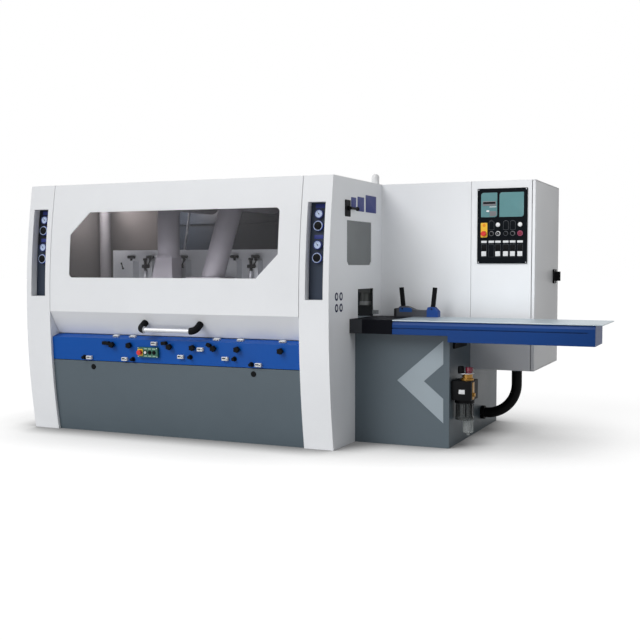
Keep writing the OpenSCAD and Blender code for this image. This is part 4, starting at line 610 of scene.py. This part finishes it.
def panel_trim():
    """Screens, lamps, dials, push buttons and blank labels of the control panel."""
    screen_corners = (3, 18, 3, 18)
    screen_h = (0.1, 1.4, 0.6)
    # Outline, heights, place and look of the screens and of what shows on them
    screens = ((rounded(111, 165, *screen_corners), screen_h, (776.5, 1587.5), SCREEN),
               (rounded(165, 165, *screen_corners), screen_h, (929.5, 1587.5), SCREEN),
               (rounded(92, 30, 2), (1.2, 2.2, 0.5), (778, 1597), DIM),
               (rounded(84, 13, 1), (2.0, 2.6, 0.3), (778, 1601), PANEL_BLACK),
               (rounded(46, 4, 1), (1.2, 2.0, 0.3), (803, 1574), LIGHT),
               (rounded(46, 34, 1, 1, 1, 12), (1.2, 1.8, 0.3), (804, 1528), DIM),
               (rounded(20, 12, 4), (1.6, 3.2, 1.0), (768, 1546), LIGHT))
    stop_up, stop_h = 24, (0.1, 1.8)
    stop_plate = [(x, z + stop_up) for x, z in rounded(46, 99, 6)]
    amber, amber_z = [(11, 1.6), (11, 2.8), (9, 3.4), (0, 3.4)], 1452
    lamp_ring = [(18, 0.1), (18, 3), (16.5, 4), (14.6, 4)]
    lamp = [(14.8, 2.0), (14.8, 6), (12, 8.6), (6, 10.2), (0, 10.6)]
    lamp_cols, arch_cols, red_col, bare_col = (2, 5), (1, 3, 4), 5, 1
    # Arched fields over the dials, each a pale rim and a dark middle
    arch_rim, arch_rim_h = rounded(36, 62, 15, 15, 3, 3), (0.1, 1.3, 0.5)
    arch, arch_h, arch_z = rounded(32.6, 58.6, 13.5, 13.5, 2, 2), (0.9, 1.6, 0.4), 1450
    dial_ring = [(16.5, 0.1), (16.5, 3), (15, 4.4), (12.2, 4.4), (11.6, 3.0)]
    dial = [(12, 2), (12, 12), (10.8, 13.4), (0, 13.4)]
    dial_bar, dial_bar_h, dial_turn = rounded(6.5, 26, 3), (12, 20, 1.6), 38
    # Column, ring and bar of each dial
    dials = ((1, DIM, PANEL_BLACK), (2, LIGHT, DIM), (3, DIM_BLACK, PANEL_BLACK), (4, DIM, PANEL_BLACK))
    red_ring = [(18.5, 0.1), (18.5, 3), (17, 4.4), (13.8, 4.4), (13.2, 3)]
    red_lens = [(13.4, 2), (13.4, 7), (11.8, 8.4), (0, 8.8)]
    # Outline, heights, height on the panel and look of each column's label and switch field
    fields = ((rounded(38, 15, 1.5), (0.1, 1.1, 0.4), 1339, LABEL),
              (rounded(38, 88, 4), (0.1, 1.1, 0.4), 1279, DIM_BLACK),
              (rounded(35.4, 85.4, 3), (0.7, 1.5, 0.4), 1279, PANEL_BLACK))
    switches = ((rounded(32, 30, 3), (1.2, 4.6, 1.2), 1301, BLACK),
                (rounded(33, 33, 3), (1.2, 5.6, 1.4), 1258, LABEL))
    screw = [(3.6, 0.1), (3.6, 1.0), (2.4, 2.0), (0, 2.0)]
    screws = ((704, 1200), (1028, 1200), (704, 1690), (1028, 1690))
    t = Trim("panel_controls", "frame")
    for outline, heights, where, look in screens:
        t.add(slab(outline, *heights), on_panel(*where), look)
    t.add(holed(stop_plate, STOP_HOLE_R, *stop_h), on_panel(CONTROL_COLS[0], DIAL_Z), YELLOW)
    t.add(lathe(amber), on_panel(CONTROL_COLS[0], amber_z), AMBER)
    for c in lamp_cols:
        t.add(lathe(lamp_ring), on_panel(CONTROL_COLS[c], LAMP_Z), PANEL_BLACK)
        t.add(lathe(lamp), on_panel(CONTROL_COLS[c], LAMP_Z), LIGHT)
    for c in arch_cols:
        m = on_panel(CONTROL_COLS[c], arch_z)
        t.add(slab(arch_rim, *arch_rim_h), m, DIM_BLACK)
        t.add(slab(arch, *arch_h), m, PANEL_BLACK)
    for c, ring, bar in dials:
        m = on_panel(CONTROL_COLS[c], DIAL_Z)
        t.add(lathe(dial_ring), m, ring)
        t.add(lathe(dial), m, BLACK)
        t.add(slab(dial_bar, *dial_bar_h), m @ turned(dial_turn), bar)
    m = on_panel(CONTROL_COLS[red_col], DIAL_Z)
    t.add(lathe(red_ring), m, MAGENTA)
    t.add(lathe(red_lens), m, DARK_RED)
    for c, x in enumerate(CONTROL_COLS):
        for outline, heights, z, look in fields if c == bare_col else fields + switches:
            t.add(slab(outline, *heights), on_panel(x, z), look)
    for x, z in screws:
        t.add(lathe(screw, SCREW_STEPS), on_panel(x, z), LIGHT_METAL)
    t.done()


def end_wall_trim():
    """Bare plates, four ringed plates and the latch's plate on the right end wall."""
    # Place, width and height
    plates = ((337, 1590, 86, 75), (466, 1589, 120, 96), (656, 1599, 200, 116))
    plate_corner, plate_h = 3, (0.1, 1.6, 0.6)
    ring_ys, ring_zs = (47, 121), (981, 908)
    ring = [(27, 0.1), (27, 1.2), (26.2, 1.6), (15, 1.6), (14.6, 0.4)]
    middle = [(15, 0.1), (14.8, 0.8), (0, 0.8)]
    latch_plate, latch_hole_r, latch_h, latch_at = rounded(84, 108, 5), 17.5, (0.1, 7.0, 1.5), (228, 1551)
    t = Trim("end_wall_plates", "frame")
    for y, z, w, h in plates:
        t.add(slab(rounded(w, h, plate_corner), *plate_h), on_end_wall(y, z), BLUE_PLATE)
    for y in ring_ys:
        for z in ring_zs:
            t.add(lathe(ring, RING_STEPS), on_end_wall(y, z), NAVY)
            t.add(lathe(middle, RING_STEPS), on_end_wall(y, z), LABEL)
    t.add(holed(latch_plate, latch_hole_r, *latch_h), on_end_wall(*latch_at), BLACK)
    t.done()


def base_trim():
    """Feed arrow on the infeed base, and the bracket under the table."""
    arrow, arrow_h = [(298, 427), (613, 161), (612, 320), (481, 429), (611, 544), (610, 696)], (0.1, 0.7)
    bracket = [(652.2, 640), (652.2, 693), (742, 693), (742, 681), (676, 681), (664, 669), (664, 640)]
    bracket_front, bracket_back = 444, 740
    t = Trim("base_fittings", "frame")
    t.add(slab(arrow, *arrow_h), place(0, BASE_Y, 0, FACE_FRONT), ARROW)
    t.add(slab(bracket, -bracket_back, -bracket_front), place(0, 0, 0, FACE_FRONT), BLACK)
    t.done()


def isolator_trim():
    """Square plate and screws behind the isolator knob."""
    plate, plate_hole_r, plate_h = rounded(102, 102, 10), 37, (0.1, 12.0, 2.0)
    screw, screw_places = [(4, 11.9), (4, 12.6), (3, 13.4), (0, 13.4)], (-42, 42)
    m = place(*ISOLATOR_AT, FACE_RIGHT)
    t = Trim("isolator_plate", "door")
    t.add(holed(plate, plate_hole_r, *plate_h), m, BLACK)
    for y in screw_places:
        for z in screw_places:
            t.add(lathe(screw, SCREW_STEPS), m @ move(y, z), LIGHT_METAL)
    t.done()


def air_trim():
    """Blank label, block face, side plate, bowl guard and filler cap of the air unit."""
    label, label_h, label_out = rounded(40, 28, 2), (0.1, 1.0, 0.4), (4, -6, 0.6)
    face, face_h, face_out = rounded(122, 116, 8), (0.1, 3.0, 2.0), (0, 0, -2.4)
    plate, plate_h = rounded(44, 112, 4), (0.1, 3.0, 1.2)
    plug, plug_steps, plug_out = [(15, 2.8), (15, 12), (12, 14), (0, 14)], 6, (0, -26)
    bar, bar_h, bar_r, bars = rounded(7, 2.4, 0.8, steps=2), (202, 281), 56.3, 8
    guard_ring = [(60.1, 287), (63, 288), (64, 290), (64, 310.5), (60.1, 310.5)]
    filler, filler_at = [(20, 482.2), (21, 486), (21, 520), (17, 528), (0, 530)], (704, 455, 0)
    block, side, bowl = place(721, 400, 373, FACE_FRONT), place(786, 452, 372, FACE_RIGHT), place(721, 485, 0)
    t = Trim("air_fittings", "frame")
    t.add(slab(label, *label_h), block @ move(*label_out), LABEL)
    t.add(slab(face, *face_h), block @ move(*face_out), BLACK)
    t.add(slab(plate, *plate_h), side, BRASS)
    t.add(lathe(plug, plug_steps), side @ move(*plug_out), BRASS)
    for k in range(bars):
        t.add(slab(bar, *bar_h), bowl @ turned(360 * (k + 0.5) / bars) @ move(0, -bar_r), BLACK)
    t.add(lathe(guard_ring), bowl, BLACK)
    t.add(lathe(filler), place(*filler_at), BLACK)
    t.done()


def inside_trim():
    """Light pipe that shows behind the window."""
    pipe_y, pipe_r = 900, 9
    pipe = ((-1671, 1120), (-1644, 1311), (-1618, 1465), (-1597, 1598), (-1581, 1745))
    t = Trim("inside_hoses", "frame")
    t.add(tube([(x, pipe_y, z) for x, z in pipe], pipe_r), place(0, 0, 0), LIGHT_METAL)
    t.done()


def presser_trim():
    """Spring columns, clamps and stay rods of the feed beam's pressers."""
    column_xs, column_right, column_ahead = (-1751.0, -1455.0, -858.0), -8, 17
    spring = [(0, 1080), (15, 1080), (16, 1082), (16, 1138), (15, 1140), (0, 1140)]
    column = [(10, 1139), (10, 1214), (17, 1216), (17, 1230), (14, 1234), (0, 1234)]
    clamp, clamp_h, clamp_out = rounded(56, 30, 4), (1160, 1186, 3), (4, 1)
    handle = [(5, 0), (5, 40), (8, 42), (8, 54), (0, 56)]
    handle_out = move(26, -2, 1180) @ turned(28, "Y")
    rod_xs, rod_right, rod_behind = (-1922.0, -1029.0), -48, 26
    rod = [(0, 1080), (6, 1080), (6, 1170), (0, 1172)]
    stay, stay_h, stay_out = rounded(34, 16, 4), (1150, 1164, 3), (-6, -4)
    lever = [(4, 0), (4, 30), (6, 32), (6, 42), (0, 43)]
    lever_out = move(-18, -4, 1160) @ turned(-20, "Y")
    foot, foot_h, foot_out = rounded(18, 14, 2), (1092, 1112, 2), (10, 0)
    t = Trim("presser_fittings", "feed")
    for x in column_xs:
        m = place(x + column_right, PRESSER_Y - column_ahead, 0)
        t.add(lathe(spring), m, LIGHT_METAL)
        t.add(lathe(column), m, BLACK)
        t.add(slab(clamp, *clamp_h), m @ move(*clamp_out), BLACK)
        t.add(lathe(handle, STUD_STEPS), m @ handle_out, BLACK)
    for x in rod_xs:
        m = place(x + rod_right, PRESSER_Y + rod_behind, 0)
        t.add(lathe(rod, STUD_STEPS), m, LIGHT_METAL)
        t.add(slab(stay, *stay_h), m @ move(*stay_out), BLACK)
        t.add(lathe(lever, STUD_STEPS), m @ lever_out, BLACK)
        t.add(slab(foot, *foot_h), m @ move(*foot_out), BLACK)
    t.done()


for fit_trim in (gauge_trim, regulator_trim, readout_trim, lever_trim, station_trim, panel_trim,
                 end_wall_trim, base_trim, isolator_trim, air_trim, inside_trim, presser_trim):
    fit_trim()

# Faces of CAD nodes with a look of their own, by where they lie
HANDLE_X, HANDLE_TUBE = -1168.0, 179.6              # middle and half length of the handle's light tube
SHAFT_REACH, SHAFT_TOP = 11.5, 590.0
DRAIN_TOP, BOWL_TOP, VALVE_LOW, VALVE_TOP, RING_TOP = 178.9, 310.9, 436.1, 478.01, 482.01
GRIP_FRONT, GRIP_LOW = 619.5, 1215.5
PLATE_PROUD = 0.5
repaint("hood_handle", (BLACK, lambda c: abs(c.x - HANDLE_X) > HANDLE_TUBE))
repaint("gauge_panels", (LIGHT, lambda c: c.y < bow_y(c.z, SLOT_D) - PLATE_PROUD))
repaint("position_readouts", (BLACK, lambda c: c.z < SHAFT_TOP and any(
    abs(c.x + s * HOUSING_L) < SHAFT_REACH for s, _ in SHAFT_ENDS)))
repaint("air_unit", (BOWL, lambda c: c.z < BOWL_TOP), (DRAIN, lambda c: c.z < DRAIN_TOP),
        (BRASS, lambda c: VALVE_LOW < c.z <= VALVE_TOP), (LIGHT_METAL, lambda c: VALVE_TOP < c.z <= RING_TOP),
        (DARK_RED, lambda c: c.z > RING_TOP))
repaint("feed_beam", (BLACK, lambda c: c.y < GRIP_FRONT and c.z > GRIP_LOW))


# Studio

WHITE_LIGHT = (1.0, 1.0, 1.0)
FILL_X, FILL = (-0.6, 0.8), (0.5, 0.15)             # the world's light falls off from left to right
SUN_ENERGY, SUN_ANGLE, SUN_AIM = 1.68, math.radians(35), (0.5, 0.9, -0.85)
# Lamps: name, place in drawing mm, aim, width and height in metres, watts and tint
LAMPS = (
    ("bay", (-2120, 420, 1690), (-0.8, 0.6, -0.3), 0.3, 0.06, 4, (1.0, 0.95, 0.93)),
    ("bay_rear", (-2050, 1250, 1695), (-0.7, 0.7, -0.3), 0.5, 0.06, 4, (1.0, 0.93, 0.9)),
    ("bay_front", (-1150, 20, 1050), (0.0, 1.0, 0.2), 1.5, 0.15, 3, (1.0, 0.98, 0.98)),
    ("corner", (1300, -150, 1500), (-1.0, 0.36, -0.25), 0.8, 0.8, 5.6, WHITE_LIGHT),
    ("side", (1900, 900, 2300), (-1.0, 0.2, -0.9), 0.6, 0.6, 1.6, WHITE_LIGHT),
    ("low_front", (-1100, -2600, 250), (0.0, 1.0, 0.22), 3.0, 0.5, 12, WHITE_LIGHT),
)
FLOOR_HALF, FLOOR_Z = 60.0, -0.0005
FLOOR_PALE, FLOOR_DIMMED = 0.93, 0.72               # the paint, and the share of its light that is left out
BOUNCE_X, BOUNCE = (1.1, 2.0), (0.58, 0.15)         # what the floor throws back, from left to right
# The floor's soft shadows: reach in metres, span of the occlusion and the glow that it gives
SHADOWS = ((0.3, (0.45, 0.95), (0.12, 0.86)), (1.0, (0.5, 0.95), (0.55, 1.0)))
SHADOW_SAMPLES = 16
# The photo's camera, fitted to the housing's edges, with its eye in metres of the drawing's frame
SENSOR_W, FOCAL_PX, PHOTO_PX = 36.0, 987.93, 640
YAW, PITCH, ROLL = 0.4149, 0.0558, -0.0004
EYE = Vector((2.4367, -5.7459, 1.1837))


def seen_ray(t):
    """Socket that is 1 for rays that show the background: from the camera, off gloss and through glass."""
    path = node(t, "ShaderNodeLightPath").outputs
    seen = path["Is Camera Ray"]
    for kind in ("Is Glossy Ray", "Is Transmission Ray"):
        seen = maths(t, "MAXIMUM", seen, path[kind])
    return seen


def across(t, kind):
    """Socket with the X of a kind of coordinates."""
    part = node(t, "ShaderNodeSeparateXYZ")
    link(t, node(t, "ShaderNodeTexCoord").outputs[kind], part.inputs["Vector"])
    return part.outputs["X"]


def pale_floor():
    """White floor with softened shadows where it is seen, which throws less light back to the right."""
    m, t = new_material("floor_pale")
    paint = node(t, "ShaderNodeBsdfDiffuse", Color=(FLOOR_PALE, FLOOR_PALE, FLOOR_PALE, 1))
    bounce = node(t, "ShaderNodeBsdfDiffuse")
    link(t, ranged(t, across(t, "Object"), BOUNCE_X, BOUNCE), bounce.inputs["Color"])
    shades = []
    for reach, span, glows in SHADOWS:
        near = node(t, "ShaderNodeAmbientOcclusion", Distance=reach, samples=SHADOW_SAMPLES)
        shades.append(ranged(t, near.outputs["AO"], span, glows))
    glow = node(t, "ShaderNodeEmission")
    link(t, maths(t, "MULTIPLY", *shades), glow.inputs["Strength"])
    # The mix's second shader is left empty, which dims the first
    lit = node(t, "ShaderNodeMixShader", Fac=FLOOR_DIMMED)
    link(t, paint.outputs["BSDF"], lit.inputs[1])
    shown = node(t, "ShaderNodeAddShader")
    link(t, glow.outputs["Emission"], shown.inputs[0])
    link(t, lit.outputs["Shader"], shown.inputs[1])
    link(t, mixed(t, seen_ray(t), bounce.outputs["BSDF"], shown.outputs["Shader"]),
         node(t, "ShaderNodeOutputMaterial").inputs["Surface"])
    return m


def aimed(name, data, direction):
    """New object for a lamp that shines in a direction."""
    obj = bpy.data.objects.new(name, data)
    obj.rotation_euler = Vector(direction).to_track_quat("-Z", "Y").to_euler()
    bpy.context.scene.collection.objects.link(obj)
    return obj


def lamps():
    sun = bpy.data.lights.new("key", "SUN")
    sun.energy, sun.angle = SUN_ENERGY, SUN_ANGLE
    aimed("key", sun, SUN_AIM)
    for name, where, aim, w, h, energy, tint in LAMPS:
        lamp = bpy.data.lights.new(name, "AREA")
        lamp.shape = "RECTANGLE"
        lamp.size, lamp.size_y, lamp.energy, lamp.color = w, h, energy, tint
        obj = aimed(name, lamp, aim)
        obj.location = at(*where)
        obj.visible_camera = False


def white_world():
    """World that is seen as plain white, and lights the object with a softer fill."""
    world = bpy.data.worlds.new("studio")
    bpy.context.scene.world = world
    world.use_nodes = True
    t = world.node_tree
    t.nodes.clear()
    fill = node(t, "ShaderNodeBackground", Color=(*WHITE_LIGHT, 1))
    link(t, ranged(t, across(t, "Generated"), FILL_X, FILL), fill.inputs["Strength"])
    seen = node(t, "ShaderNodeBackground", Color=(*WHITE_LIGHT, 1), Strength=1.0)
    link(t, mixed(t, seen_ray(t), fill.outputs["Background"], seen.outputs["Background"]),
         node(t, "ShaderNodeOutputWorld").inputs["Surface"])


def floor():
    s = FLOOR_HALF
    mesh = bpy.data.meshes.new("floor")
    mesh.from_pydata([(-s, -s, 0), (s, -s, 0), (s, s, 0), (-s, s, 0)], [], [(0, 1, 2, 3)])
    mesh.materials.append(pale_floor())
    obj = bpy.data.objects.new("floor", mesh)
    obj.location.z = FLOOR_Z
    bpy.context.scene.collection.objects.link(obj)


def camera():
    cam = bpy.data.cameras.new("camera")
    cam.sensor_width = SENSOR_W
    cam.lens = SENSOR_W * FOCAL_PX / PHOTO_PX
    obj = bpy.data.objects.new("camera", cam)
    level = math.cos(PITCH)
    ahead = Vector((-math.sin(YAW) * level, math.cos(YAW) * level, -math.sin(PITCH)))
    right = Vector((math.cos(YAW), math.sin(YAW), 0.0))
    turn = Matrix((right, right.cross(ahead), -ahead)).transposed() @ Matrix.Rotation(ROLL, 3, "Z")
    obj.matrix_world = Matrix.Translation(EYE + SHIFT) @ turn.to_4x4()
    bpy.context.scene.collection.objects.link(obj)
    bpy.context.scene.camera = obj


bpy.context.scene.view_settings.view_transform = "Standard"
white_world()
lamps()
floor()
camera()
